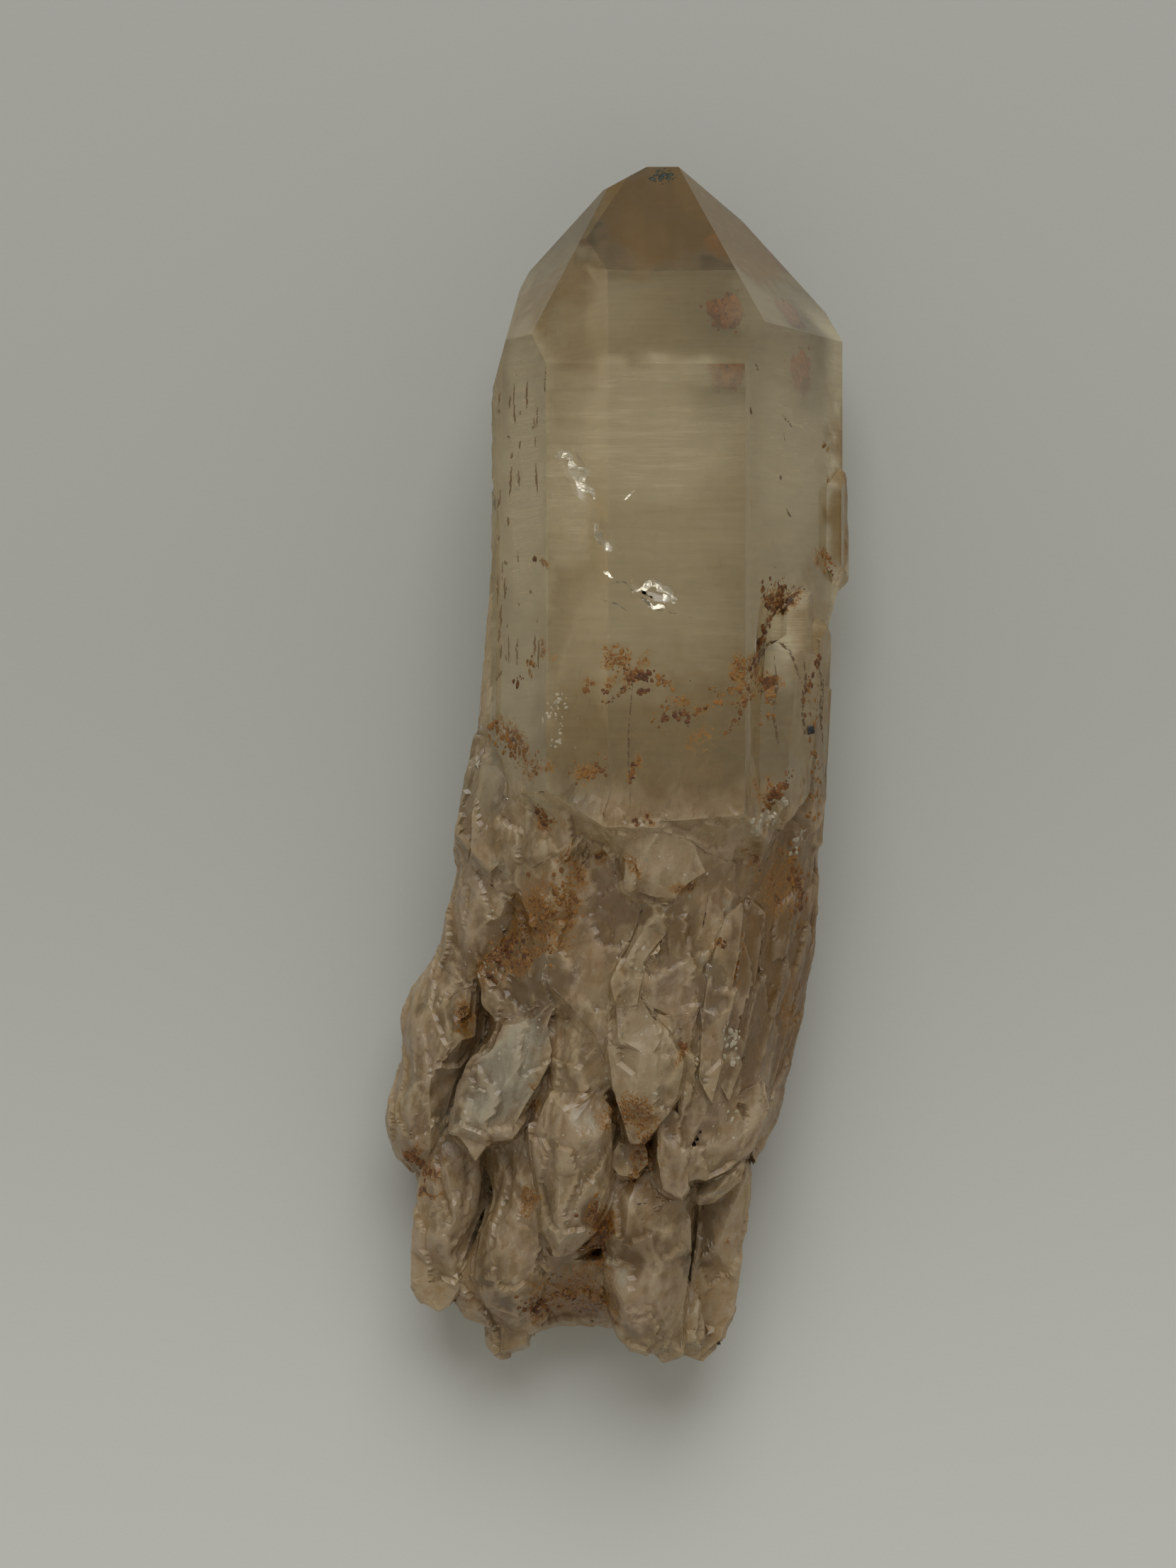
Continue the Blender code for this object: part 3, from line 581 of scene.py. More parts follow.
class Graph:
    """A material's nodes."""

    def __init__(self, name):
        self.material = bpy.data.materials.new(name)
        self.material.use_nodes = True
        self.tree = self.material.node_tree
        self.tree.nodes.clear()

    def add(self, kind, settings=None, inputs=None):
        """Adds a node with its settings and its inputs, each a signal or a constant."""
        node = self.tree.nodes.new(kind)
        for name, value in (settings or {}).items():
            setattr(node, name, value)
        for name, value in (inputs or {}).items():
            if isinstance(value, Signal):
                self.tree.links.new(value.socket, node.inputs[name])
            else:
                node.inputs[name].default_value = value
        return Added(self, node)

    def places(self, scale=(1.0, 1.0, 1.0)):
        """Places on the piece in millimetres, each axis multiplied by its scale."""
        coordinates = self.add("ShaderNodeTexCoord").out("Object")
        sizes = [share / MM for share in scale]
        inputs = {0: coordinates, 1: sizes}
        return self.add("ShaderNodeVectorMath", {"operation": "MULTIPLY"}, inputs).out("Vector")

    def leaning_places(self, scale):
        """Places that run along the leaning crystals of the sheaf, each axis multiplied by its scale."""
        places = self.places()
        parts = self.add("ShaderNodeSeparateXYZ", {}, {"Vector": places})
        across = parts.out("X") - LEAN * parts.out("Y")
        inputs = {"X": across * scale[0], "Y": parts.out("Y") * scale[1], "Z": parts.out("Z") * scale[2]}
        return self.add("ShaderNodeCombineXYZ", {}, inputs).out("Vector")

    def ridges(self, places, scale, detail, roughness, distortion):
        """How far noise is from its middle value: 0 along wandering veins."""
        away = self.noise(places, scale, detail, roughness, distortion) - 0.5
        return away.made("ABSOLUTE", away)

    def stored(self, name):
        """A number stored for each vertex."""
        return self.add("ShaderNodeAttribute", {"attribute_name": name}).out("Fac")

    def noise(self, places, scale, detail=4.0, roughness=0.55, distortion=0.0):
        """Cloud noise about 0.5."""
        inputs = {
            "Vector": places,
            "Scale": scale,
            "Detail": detail,
            "Roughness": roughness,
            "Distortion": distortion,
        }
        return self.add("ShaderNodeTexNoise", {}, inputs).out("Fac")

    def chips(self, places, scale):
        """The height of small flat facets, each tilted its own way, and a tone for each facet."""
        cells = self.add("ShaderNodeTexVoronoi", {"feature": "F1"}, {"Vector": places, "Scale": scale})
        away = self.vector("SUBTRACT", places, cells.out("Position")).out("Vector")
        tilt = self.vector("SUBTRACT", cells.out("Color"), (0.5, 0.5, 0.5)).out("Vector")
        return self.vector("DOT_PRODUCT", away, tilt).out("Value"), cells.out("Color") - 0.0

    def vector(self, operation, first, second):
        """A Vector Math node."""
        return self.add("ShaderNodeVectorMath", {"operation": operation}, {0: first, 1: second})

    def blend(self, share, first, second):
        """A colour between two, each a signal or a constant colour."""
        settings = {"data_type": "RGBA", "blend_type": "MIX"}
        mix = self.add("ShaderNodeMix", settings, {0: share, 6: first, 7: second})
        return Signal(self, mix.node.outputs[2])

    def bump(self, height, distance, strength=1.0, normal=None):
        """A normal bumped by a height."""
        inputs = {"Height": height, "Distance": distance * MM, "Strength": strength}
        if normal is not None:
            inputs["Normal"] = normal
        return self.add("ShaderNodeBump", {}, inputs).out("Normal")

    def surface(self, inputs):
        """A Principled surface."""
        return self.add("ShaderNodeBsdfPrincipled", {}, inputs).out("BSDF")

    def close(self, surface, volume=None):
        """Ends the material."""
        inputs = {"Surface": surface}
        if volume is not None:
            inputs["Volume"] = volume
        self.add("ShaderNodeOutputMaterial", {}, inputs)
        return self.material


# Colours of the crystal's skin, in linear light.
CLEAR_TINT = (1.0, 0.98, 0.95, 1.0)
HAZE = (0.72, 0.62, 0.40, 1.0)
AMBER = (0.31, 0.18, 0.055, 1.0)
MILK_BEIGE = (0.43, 0.305, 0.155, 1.0)
MILK_PINK = (0.42, 0.295, 0.180, 1.0)
# Pale colour of broken edges, also used as painted highlight on ridges and as painted sparkle.
PALE_EDGE_AND_HIGHLIGHT = (0.56, 0.46, 0.31, 1.0)
CREAM = (0.40, 0.30, 0.17, 1.0)
WHITE_PLATE = (0.43, 0.395, 0.285, 1.0)
BROWN_TINT = (0.16, 0.076, 0.013, 1.0)
SMOKY_TINT = (0.68, 0.50, 0.22, 1.0)
# Darker brown that the sheaf's hollows are blended towards.
HOLLOW_DARK_BROWN = (0.22, 0.130, 0.050, 1.0)
RUST_ORANGE = (0.27, 0.095, 0.010, 1.0)
RUST_OCHRE = (0.33, 0.165, 0.028, 1.0)
RUST_DARK = (0.050, 0.018, 0.007, 1.0)


def quartz():
    """Clear smoky-yellow quartz whose skin turns milky, crusted and rusty where the stored values say."""
    graph = Graph("citrine")
    places = graph.places()
    fibres = graph.leaning_places((1.0, 0.16, 1.0))
    steps = graph.places((0.05, 1.0, 0.05))
    sheaf = graph.stored("sheaf")
    ridge = graph.stored("ridge") * sheaf.rise(0.7, 1.0)
    hollow = graph.stored("hollow") * sheaf
    milk_spots = graph.stored("milk")
    rust_spots = graph.stored("rust")
    tint_spots = graph.stored("tint")
    cream_spots = graph.stored("cream")
    white_spots = graph.stored("white")
    smoke_spots = graph.stored("smoke")

    clouds = graph.noise(places, 0.20, 3.0)
    mottle = graph.noise(places, 0.7, 4.0, 0.6)
    grain = graph.noise(places, 2.4, 4.0, 0.65)
    threads = graph.noise(fibres, 1.2, 4.0, 0.6)
    ledges = graph.noise(steps, 1.6, 3.0, 0.7)
    striae = graph.noise(steps, 7.0, 2.0, 0.6)
    chip_height, chip_tone = graph.chips(graph.leaning_places((1.0, 0.5, 1.0)), 0.62)
    flake_height, flake_tone = graph.chips(graph.leaning_places((1.0, 0.6, 1.0)), 1.9)

    # Rust branches out along thin veins that break up, and each patch has an ochre haze round it.
    veins = 1.0 - 9.0 * graph.ridges(places, 0.9, 4.0, 0.65, 1.6)
    crumbs = graph.noise(places, 3.4, 4.0, 0.75, 0.6)
    rust_field = 0.50 * veins.over(0.0) + 1.5 * (crumbs - 0.5) + 0.5 * (mottle - 0.5)
    rust_level = 0.50 - 0.66 * rust_spots - 0.10 * hollow
    rust_over = rust_field - rust_level
    rust = rust_over.rise(0.0, 0.16) * rust_spots.rise(0.02, 0.2).over(hollow * 0.6)
    rust_tone = crumbs.rise(0.40, 0.60)
    rust_depth = rust_over.rise(0.20, 0.50)
    rust_haze = rust_spots * (0.10 + 0.8 * mottle)

    cream = (cream_spots + 1.0 * (grain - 0.5) + 0.7 * (mottle - 0.5)).rise(0.32, 0.86)
    white = (white_spots + 1.0 * (threads - 0.5) + 0.5 * (mottle - 0.5)).rise(0.30, 0.86)
    smoke = (smoke_spots + 0.5 * (clouds - 0.5)).rise(0.20, 0.75)
    tint = (tint_spots + 0.6 * (mottle - 0.5)).rise(0.10, 0.80)

    body = graph.blend(clouds.rise(0.38, 0.62), MILK_BEIGE, MILK_PINK)
    # Painted sparkle: scattered small facets turn pale, standing in for tiny glints of light.
    painted_sparkle = (flake_tone + 0.8 * (grain - 0.5)).rise(0.58, 0.80)
    body = graph.blend(painted_sparkle * 0.38, body, PALE_EDGE_AND_HIGHLIGHT)
    body = graph.blend(mottle.rise(0.58, 0.38) * 0.55, body, AMBER)
    body = graph.blend(white * 0.80, body, WHITE_PLATE)
    body = graph.blend(cream * 0.80, body, CREAM)
    body = graph.blend(tint * 0.85, body, BROWN_TINT)
    # The sheaf's hollows are blended towards a darker brown.
    body = graph.blend(hollow * 0.65, body, HOLLOW_DARK_BROWN)
    # Ridges turn pale: partly the pale broken edges of the crystals, partly painted highlight where the edges
    # catch the light.
    body = graph.blend(ridge * 0.28, body, PALE_EDGE_AND_HIGHLIGHT)
    prism_skin = graph.blend(tint * 0.9, HAZE, AMBER)
    body = graph.blend(sheaf, prism_skin, body)
    body = graph.blend(rust_haze * 0.7, body, RUST_OCHRE)
    rusty = graph.blend(rust_tone, RUST_ORANGE, RUST_OCHRE)
    rusty = graph.blend(rust_depth, rusty, RUST_DARK)
    body = graph.blend(rust, body, rusty)

    haze = 0.06 + milk_spots * (0.4 + 0.8 * ledges + 0.6 * (striae - 0.5)) + 0.06 * clouds
    haze = haze + 0.42 * graph.stored("under") * (0.6 + 0.8 * ledges)
    sheaf_milk = 0.52 + 0.8 * (clouds - 0.5) + 0.5 * (threads - 0.5) + 0.25 * (chip_tone - 0.5)
    sheaf_milk = sheaf_milk + 0.20 * (flake_tone - 0.5) + 0.3 * ridge
    opaque = haze + sheaf * sheaf_milk - 0.40 * smoke - 0.25 * hollow
    opaque = opaque.over(0.05 + 0.25 * sheaf).under(0.82)
    opaque = opaque.over(cream * 0.74).over(white * 0.55).over(rust * 0.94)
    opaque = opaque.over(tint * 0.72 * (0.42 + 0.58 * sheaf)).over(rust_haze * 0.28)

    frost = milk_spots * grain
    prism_height = 0.020 * ledges + 0.006 * striae + 0.05 * frost
    chipped = 0.14 * chip_height + 0.12 * flake_height + 0.12 * threads + 0.10 * grain
    height = 0.4 * prism_height * (1.0 - sheaf) + 0.7 * sheaf * chipped
    normal = graph.bump(height, 1.0)
    clear_roughness = (0.03 + 0.25 * milk_spots + 0.22 * sheaf).under(0.5)
    skin_roughness = 0.22 + 0.30 * flake_tone + 0.15 * cream

    clear = graph.surface(
        {
            "Base Color": graph.blend(tint.over(hollow * 0.5), CLEAR_TINT, SMOKY_TINT),
            "Roughness": clear_roughness,
            "IOR": QUARTZ_IOR,
            "Transmission Weight": 1.0,
            "Normal": normal,
        }
    )
    skin = graph.surface(
        {
            "Base Color": body,
            "Roughness": skin_roughness,
            "IOR": QUARTZ_IOR,
            "Transmission Weight": 0.0,
            "Normal": normal,
        }
    )
    mixed = graph.add("ShaderNodeMixShader", {}, {0: opaque, 1: clear, 2: skin}).out("Shader")
    absorbing = {"Color": ABSORPTION_COLOUR, "Density": ABSORPTION_DENSITY}
    volume = graph.add("ShaderNodeVolumeAbsorption", {}, absorbing).out("Volume")
    return graph.close(mixed, volume)


def plain_mineral(name, dark, light, scale, roughness):
    """An opaque mineral of two tones."""
    graph = Graph(name)
    places = graph.places()
    tone = graph.noise(places, scale, 5.0, 0.6).rise(0.35, 0.65)
    colour = graph.blend(tone, dark, light)
    normal = graph.bump(graph.noise(places, scale * 2.0, 4.0), 0.1, 0.6)
    return graph.close(graph.surface({"Base Color": colour, "Roughness": roughness, "Normal": normal}))


def speckled(name, colour, roughness, open_share, scale, metallic=0.0):
    """A thin film that breaks up into flakes."""
    graph = Graph(name)
    flakes = graph.noise(graph.places(), scale, 5.0, 0.65)
    cover = flakes.rise(open_share + 0.06, open_share + 0.20)
    settings = {"Base Color": colour, "Roughness": roughness, "Metallic": metallic, "Alpha": cover}
    return graph.close(graph.surface(settings))


# Small pieces in and on the crystal

# Lines in and on the prism, as drawn: the places that they pass, their width and how far over the surface
# they lie; below the surface is under 0.
# The flashes are near-white, mostly metallic strips that mirror the window; their near-white colour is also a
# painted glint.
FLASHES = (
    (((-10.0, 28.6), (-8.7, 28.5), (-8.1, 27.3), (-7.5, 25.7), (-6.6, 24.9)), 0.85, -0.7),
    (((-8.6, 27.9), (-8.1, 26.9), (-7.6, 25.9)), 0.60, -1.3),
    (((-6.7, 22.9), (-6.2, 21.7), (-5.4, 20.5)), 0.55, -0.6),
    (((-3.3, 16.9), (-1.9, 17.3), (-1.0, 17.4), (-0.4, 16.8), (0.6, 16.1)), 0.60, -0.5),
    (((-2.5, 16.1), (-1.3, 15.5), (-0.5, 15.3)), 0.50, -0.5),
    (((-1.2, 16.9), (-0.2, 16.4), (0.5, 15.9)), 0.45, -0.9),
    (((-4.0, 24.8), (-3.1, 25.7)), 0.20, -0.3),
    (((-5.9, 18.6), (-5.0, 18.0)), 0.30, -0.4),
)
VEILS = (
    (((-10.0, 28.5), (-9.3, 25.7), (-9.0, 23.9)), 0.35, -0.3),
    (((-9.0, 23.9), (-8.3, 22.3), (-8.7, 19.5)), 0.80, -0.6),
    (((-7.4, 24.0), (-7.2, 22.0), (-7.6, 19.0)), 0.70, -0.8),
    (((-5.7, 19.6), (-4.9, 18.2), (-3.4, 17.0)), 0.70, -0.5),
    (((-7.4, 14.8), (-8.2, 13.6), (-8.9, 12.0)), 0.50, -0.4),
    (((4.2, 20.4), (4.4, 18.6), (3.9, 17.0)), 0.50, -0.5),
    (((-10.4, 34.2), (-4.0, 34.1), (6.2, 34.2)), 0.16, 0.01),
    (((-10.4, 33.0), (-5.0, 32.9), (2.0, 33.0)), 0.10, 0.01),
    (((-7.2, 27.5), (-4.1, 27.5)), 0.10, 0.01),
    (((-5.9, 25.1), (-3.4, 25.0), (-1.3, 24.9)), 0.12, 0.01),
    (((0.2, 24.9), (3.4, 24.8)), 0.10, 0.01),
    (((-4.4, 21.2), (1.8, 21.1)), 0.09, 0.01),
)
CRACKS = (
    (((-5.7, 17.3), (-4.1, 17.7), (-3.3, 16.9), (-1.3, 15.3), (1.8, 14.5)), 0.22, -0.2),
    (((-6.1, 16.1), (-4.6, 15.7), (-3.6, 15.0)), 0.18, -0.2),
    (((-3.3, 8.7), (-3.6, 5.9), (-3.7, 2.8), (-3.5, -2.1)), 0.16, 0.01),
    (((7.2, 9.4), (7.9, 11.3), (8.8, 12.4), (9.8, 12.7), (10.5, 12.0), (11.1, 10.4), (11.8, 8.9)), 0.30, 0.01),
    (((11.9, 11.1), (12.1, 9.2), (11.8, 6.7), (12.0, 4.2)), 0.35, 0.01),
    (((9.2, 11.3), (9.4, 8.5), (9.1, 6.0), (9.6, 3.5)), 0.28, 0.01),
    (((13.2, 11.1), (14.0, 9.3), (13.8, 6.8), (14.1, 3.6)), 0.35, 0.01),
    (((7.1, 37.3), (7.4, 36.9)), 0.20, 0.01),
    (((7.5, 36.9), (7.8, 36.3)), 0.20, 0.01),
    (((7.0, 33.0), (7.1, 32.3)), 0.16, 0.01),
    (((10.0, 33.0), (11.1, 32.0)), 0.16, 0.01),
    (((10.3, 31.4), (10.4, 30.4)), 0.12, 0.01),
    (((10.0, 27.6), (10.0, 27.1)), 0.24, 0.01),
    (((10.4, 24.6), (11.0, 23.9)), 0.20, 0.01),
    (((-10.9, 36.4), (-11.0, 34.2)), 0.12, 0.01),
)
LEFT_SLITS = 46
RIBBON_COLUMNS = 24
RIBBON_ROWS = 3
RIBBON_DEPTH = 0.03
# How steeply the flashing cracks fall towards the point, so that they mirror the window.
FLASH_LEAN = 0.25

# Chains of rust crumbs, as drawn: the places that they pass, their spread, the largest crumb, and how many
# crumbs there are in each millimetre.
DARK_RUST = (
    (((8.7, 16.5), (9.6, 17.0), (10.6, 17.5)), 0.55, 0.30, 16),
    (((9.0, 16.4), (8.8, 15.4)), 0.20, 0.22, 14),
    (((10.0, 17.0), (9.9, 15.9)), 0.20, 0.20, 14),
    (((9.3, 15.5), (8.4, 13.5), (7.9, 12.0), (7.1, 10.0)), 0.14, 0.26, 14),
    (((9.3, 9.5), (8.7, 9.1), (7.8, 8.3)), 0.30, 0.28, 16),
    (((7.2, 7.8), (6.8, 7.5), (5.7, 5.8), (4.8, 4.0)), 0.22, 0.20, 7),
    (((2.6, 6.3), (1.7, 5.9), (0.5, 6.2), (-0.9, 5.6)), 0.28, 0.28, 8),
    (((-3.8, 9.8), (-3.2, 9.4), (-1.9, 9.5)), 0.25, 0.26, 12),
    (((-3.2, 9.4), (-3.8, 8.4), (-4.7, 7.7), (-5.7, 7.0)), 0.16, 0.18, 9),
    (((-2.1, 9.3), (-2.3, 8.4), (-2.6, 7.5)), 0.18, 0.26, 8),
    (((-7.5, 8.2), (-7.3, 8.1)), 0.12, 0.30, 14),
    (((-5.8, 8.0), (-5.6, 7.9)), 0.14, 0.26, 14),
    (((-11.8, 19.9), (-11.8, 19.6)), 0.12, 0.26, 12),
    (((-13.3, 9.4), (-13.3, 9.0)), 0.20, 0.30, 12),
    (((12.6, 9.6), (12.3, 8.2), (11.9, 7.0)), 0.16, 0.26, 10),
    (((13.6, 11.4), (13.0, 10.4)), 0.16, 0.26, 10),
    (((10.7, 0.8), (10.0, -0.2), (9.2, -1.2), (8.7, -1.9)), 0.30, 0.30, 12),
    (((-11.7, -2.1), (-11.4, -2.8), (-10.8, -3.4)), 0.22, 0.30, 12),
    (((-3.4, 1.6), (-3.4, 0.4)), 0.16, 0.24, 10),
    (((-3.1, -3.4), (-2.6, -3.5)), 0.16, 0.24, 10),
    (((11.4, -7.9), (12.0, -9.9), (12.2, -11.5)), 0.25, 0.30, 10),
    (((-15.9, -17.5), (-14.2, -14.3), (-12.6, -12.3)), 0.40, 0.30, 10),
    (((-23.7, -34.2), (-22.6, -34.6), (-22.1, -35.6)), 0.30, 0.36, 14),
    (((-6.2, -38.0), (-6.0, -40.1), (-6.1, -43.0)), 0.30, 0.34, 12),
    (((-13.6, -48.1), (-11.7, -47.5), (-9.1, -47.2)), 0.60, 0.28, 10),
    (((4.8, -13.8), (4.9, -14.6)), 0.16, 0.26, 10),
    (((1.2, -22.9), (1.2, -23.6)), 0.18, 0.26, 10),
)
OCHRE_RUST = (
    (((8.6, 16.8), (9.8, 17.8), (11.6, 17.0)), 0.60, 0.22, 9),
    (((5.9, 10.6), (6.5, 8.7), (4.8, 8.0), (3.8, 7.5)), 0.50, 0.24, 12),
    (((-4.5, 11.5), (-4.7, 10.6), (-3.8, 9.8)), 0.35, 0.22, 8),
    (((-1.9, 9.5), (-0.5, 8.8), (0.3, 8.3)), 0.30, 0.22, 8),
    (((1.7, 7.6), (-0.3, 6.6), (-1.4, 5.0)), 0.50, 0.20, 6),
    (((-12.3, 10.3), (-11.8, 10.8)), 0.30, 0.28, 12),
    (((-15.6, 5.7), (-15.4, 4.5), (-14.6, 3.9), (-14.1, 2.2)), 0.50, 0.30, 12),
    (((-7.9, 0.8), (-7.3, 1.1), (-6.6, 1.5), (-5.8, 1.4)), 0.45, 0.26, 12),
    (((-13.9, 1.6), (-12.4, 2.0), (-10.6, 1.2)), 0.50, 0.22, 7),
    (((14.6, 31.2), (14.6, 30.6)), 0.20, 0.26, 9),
    (((14.8, 27.9), (14.8, 27.5)), 0.16, 0.20, 8),
    (((14.9, 20.8), (14.8, 19.4)), 0.25, 0.26, 9),
    (((7.9, 9.6), (9.0, 8.2), (8.4, 5.4)), 0.40, 0.22, 8),
    (((12.9, 8.6), (13.4, 3.0), (13.4, -3.0)), 0.35, 0.26, 6),
    (((-12.6, -12.3), (-10.6, -10.2), (-9.2, -8.6)), 0.90, 0.30, 12),
    (((-14.8, -15.4), (-11.4, -14.2), (-9.4, -12.4)), 0.90, 0.26, 8),
    (((11.0, -5.0), (11.8, -9.0), (11.6, -14.0)), 0.50, 0.28, 8),
    (((-6.2, -37.0), (-6.6, -41.0), (-6.9, -44.6)), 0.60, 0.28, 9),
    (((-11.0, -45.4), (-8.6, -46.6), (-6.2, -48.0)), 1.10, 0.28, 9),
    (((-4.4, -29.6), (-2.4, -30.8), (-1.6, -34.6)), 0.50, 0.26, 8),
)
# Pale flakes that catch the light.
PALE_FLAKES = (
    (((-9.6, 8.0), (-10.2, 6.0), (-9.6, 3.4)), 0.50, 0.22, 5),
    (((-10.4, 6.6), (-9.0, 5.0)), 0.60, 0.16, 7),
    (((7.0, -4.6), (8.6, -2.8), (10.2, -1.4)), 0.30, 0.34, 6),
    (((11.2, -6.2), (12.4, -4.1)), 0.25, 0.28, 5),
    (((-14.6, -7.0), (-15.2, -13.0), (-17.0, -18.0)), 0.80, 0.20, 2.4),
    (((-4.0, -6.4), (-0.4, -7.0), (2.6, -9.8)), 0.90, 0.18, 3),
    (((-3.6, -14.0), (-1.4, -19.0), (-2.8, -26.0)), 1.10, 0.20, 2.4),
    (((5.6, -21.4), (5.8, -25.6)), 0.40, 0.28, 6),
    (((-12.4, -20.6), (-16.4, -27.0), (-19.0, -32.0)), 1.10, 0.20, 2.2),
    (((-8.8, -30.0), (-6.4, -33.4), (-9.2, -39.6)), 1.10, 0.20, 2.6),
    (((-22.0, -24.0), (-21.4, -30.0)), 0.90, 0.18, 2),
    (((3.0, -28.0), (6.2, -31.6)), 0.90, 0.18, 2.4),
)
FLAKE_FLATNESS = 0.22
# Black-green specks inside the point.
SPECKS = ((((-1.1, 55.4), (-0.3, 56.2), (0.5, 55.2)), 0.30, 0.30, 12),)
SPECK_LIFT = 0.0
CRUMB_FLATNESS = 0.35
SMALLEST_CRUMB = 0.3


def surface_at(crystal, x, y):
    """The crystal's upper surface at a drawn place, and its normal there; nothing beside the crystal."""
    found, spot, normal, _ = crystal.ray_cast(place(x, y, CAMERA_HEIGHT), Vector((0.0, 0.0, -1.0)))
    return (spot, normal) if found else None


def along_line(line, share):
    """The place at a share of a line's length."""
    places = numpy.array(line)
    steps = numpy.sqrt((numpy.diff(places, axis=0) ** 2).sum(axis=1))
    lengths = numpy.concatenate(([0.0], numpy.cumsum(steps)))
    at = share * lengths[-1]
    return numpy.array([numpy.interp(at, lengths, places[:, 0]), numpy.interp(at, lengths, places[:, 1])])


def line_length(line):
    """A line's length."""
    return float(numpy.sqrt((numpy.diff(numpy.array(line), axis=0) ** 2).sum(axis=1)).sum())


def ribbon(crystal, line, width, lift, lean, seed):
    """A thin uneven strip along a line, widest in its middle, that follows the crystal's surface."""
    bpy.ops.object.select_all(action="DESELECT")
    bpy.ops.mesh.primitive_grid_add(x_subdivisions=RIBBON_COLUMNS, y_subdivisions=RIBBON_ROWS, size=2.0)
    piece = bpy.context.object
    for vertex in piece.data.vertices:
        share = (vertex.co.x + 1.0) / 2.0
        middle = along_line(line, share)
        ahead = along_line(line, min(share + 0.02, 1.0)) - along_line(line, max(share - 0.02, 0.0))
        ahead /= max(float(numpy.hypot(*ahead)), 1e-9)
        uneven = 1.0 + 1.1 * noise.noise(Vector((share * 5.0, vertex.co.y, seed * 3.1)))
        half = 0.5 * width * math.sin(math.pi * (0.06 + 0.88 * share)) * max(uneven, 0.25)
        wander = 0.5 * width * noise.noise(Vector((share * 4.0, seed * 5.7, 0.0)))
        x = middle[0] - ahead[1] * (vertex.co.y * half + wander)
        y = middle[1] + ahead[0] * (vertex.co.y * half + wander)
        surface = surface_at(crystal, x, y) or surface_at(crystal, *middle)
        sink = lift * (1.0 + 0.4 * noise.noise(Vector((x, y, seed)) * 0.8))
        vertex.co = surface[0] + surface[1] * ((sink - lean * (y - middle[1])) * MM)
    thick = piece.modifiers.new("depth", "SOLIDIFY")
    thick.thickness = RIBBON_DEPTH * MM
    thick.offset = 0.0
    bpy.ops.object.modifier_apply(modifier="depth")
    return piece


def dress(piece, name, material):
    """Names a finished piece, gives it its material and lets it ride."""
    piece.name = name
    piece.data.name = name
    for vertex in piece.data.vertices:
        vertex.co = [min(max(vertex.co[axis], cad_low[axis]), cad_high[axis]) for axis in range(3)]
    piece.data.materials.clear()
    piece.data.materials.append(material)
    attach(piece, "root")


def joined(pieces):
    """Several pieces as one."""
    bpy.ops.object.select_all(action="DESELECT")
    for piece in pieces:
        piece.select_set(True)
    bpy.context.view_layer.objects.active = pieces[0]
    bpy.ops.object.join()
    return pieces[0]


def make_lines(crystal):
    """Flashes and veils of healed cracks, growth lines, dark cracks and slits of the prism; the flashes'
    near-white colour is partly a painted glint.
    """
    chance = random.Random(4)
    slits = []
    for _ in range(LEFT_SLITS):
        x, y = chance.uniform(-15.4, -11.4), chance.uniform(8.0, 36.0)
        length, lean = 0.3 + 2.4 * chance.random() ** 2, chance.uniform(-0.12, 0.12)
        slits.append((((x, y), (x + lean, y + length)), chance.uniform(0.07, 0.17), 0.01))
    # The flashes' near-white colour is partly a painted glint; the strips also mirror the window.
    for name, lines, lean, material in (
        ("flashes", FLASHES, FLASH_LEAN, speckled("crack_flash_painted_glint", (0.95, 0.90, 0.76, 1.0), 0.26, 0.30, 2.2, 0.8)),
        ("veils", VEILS, 0.0, speckled("crack_veil", (0.74, 0.66, 0.47, 1.0), 0.40, 0.55, 2.6)),
        ("cracks", CRACKS, 0.0, speckled("crack_dark", (0.12, 0.065, 0.025, 1.0), 0.60, 0.40, 2.2)),
        ("slits", slits, 0.0, speckled("slit_brown", (0.21, 0.13, 0.058, 1.0), 0.60, 0.30, 2.2)),
    ):
        strips = [ribbon(crystal, *line, lean, seed) for seed, line in enumerate(lines)]
        dress(joined(strips), name, material)


def crumb_model():
    """One crumb, which is copied many times."""
    bpy.ops.object.select_all(action="DESELECT")
    bpy.ops.mesh.primitive_ico_sphere_add(subdivisions=1, radius=1.0)
    model = bpy.context.object
    for vertex in model.data.vertices:
        vertex.co *= 1.0 + 0.5 * noise.noise(vertex.co * 2.3)
    mesh = model.data
    bpy.data.objects.remove(model)
    return mesh


def copies(name, model, matrices, material):
    """Many copies of one model as a piece."""
    mesh = bmesh.new()
    for matrix in matrices:
        count = len(mesh.verts)
        mesh.from_mesh(model)
        mesh.verts.ensure_lookup_table()
        bmesh.ops.transform(mesh, matrix=matrix, verts=mesh.verts[count:])
    data = bpy.data.meshes.new(name)
    mesh.to_mesh(data)
    mesh.free()
    piece = bpy.data.objects.new(name, data)
    bpy.context.scene.collection.objects.link(piece)
    dress(piece, name, material)


def chains(crystal, lines, lift, chance, flatness=CRUMB_FLATNESS):
    """Places, turns and sizes of crumbs scattered along lines on the crystal."""
    matrices = []
    for line, spread, largest, density in lines:
        for _ in range(int(math.ceil(line_length(line) * density + 2.0))):
            x, y = along_line(line, chance.random())
            x += chance.gauss(0.0, spread)
            y += chance.gauss(0.0, spread)
            size = largest * (SMALLEST_CRUMB + (1.0 - SMALLEST_CRUMB) * chance.random() ** 2)
            longer = chance.uniform(0.8, 1.7)
            turn = Matrix.Rotation(chance.uniform(0.0, math.tau), 4, "Z")
            surface = surface_at(crystal, x, y)
            if surface is None:
                continue
            spot, normal = surface
            stand = normal.to_track_quat("Z", "Y").to_matrix().to_4x4()
            sizes = Matrix.Diagonal((size * longer * MM, size * MM, size * flatness * MM, 1.0))
            matrices.append(Matrix.Translation(spot + normal * (lift * MM)) @ stand @ turn @ sizes)
    return matrices


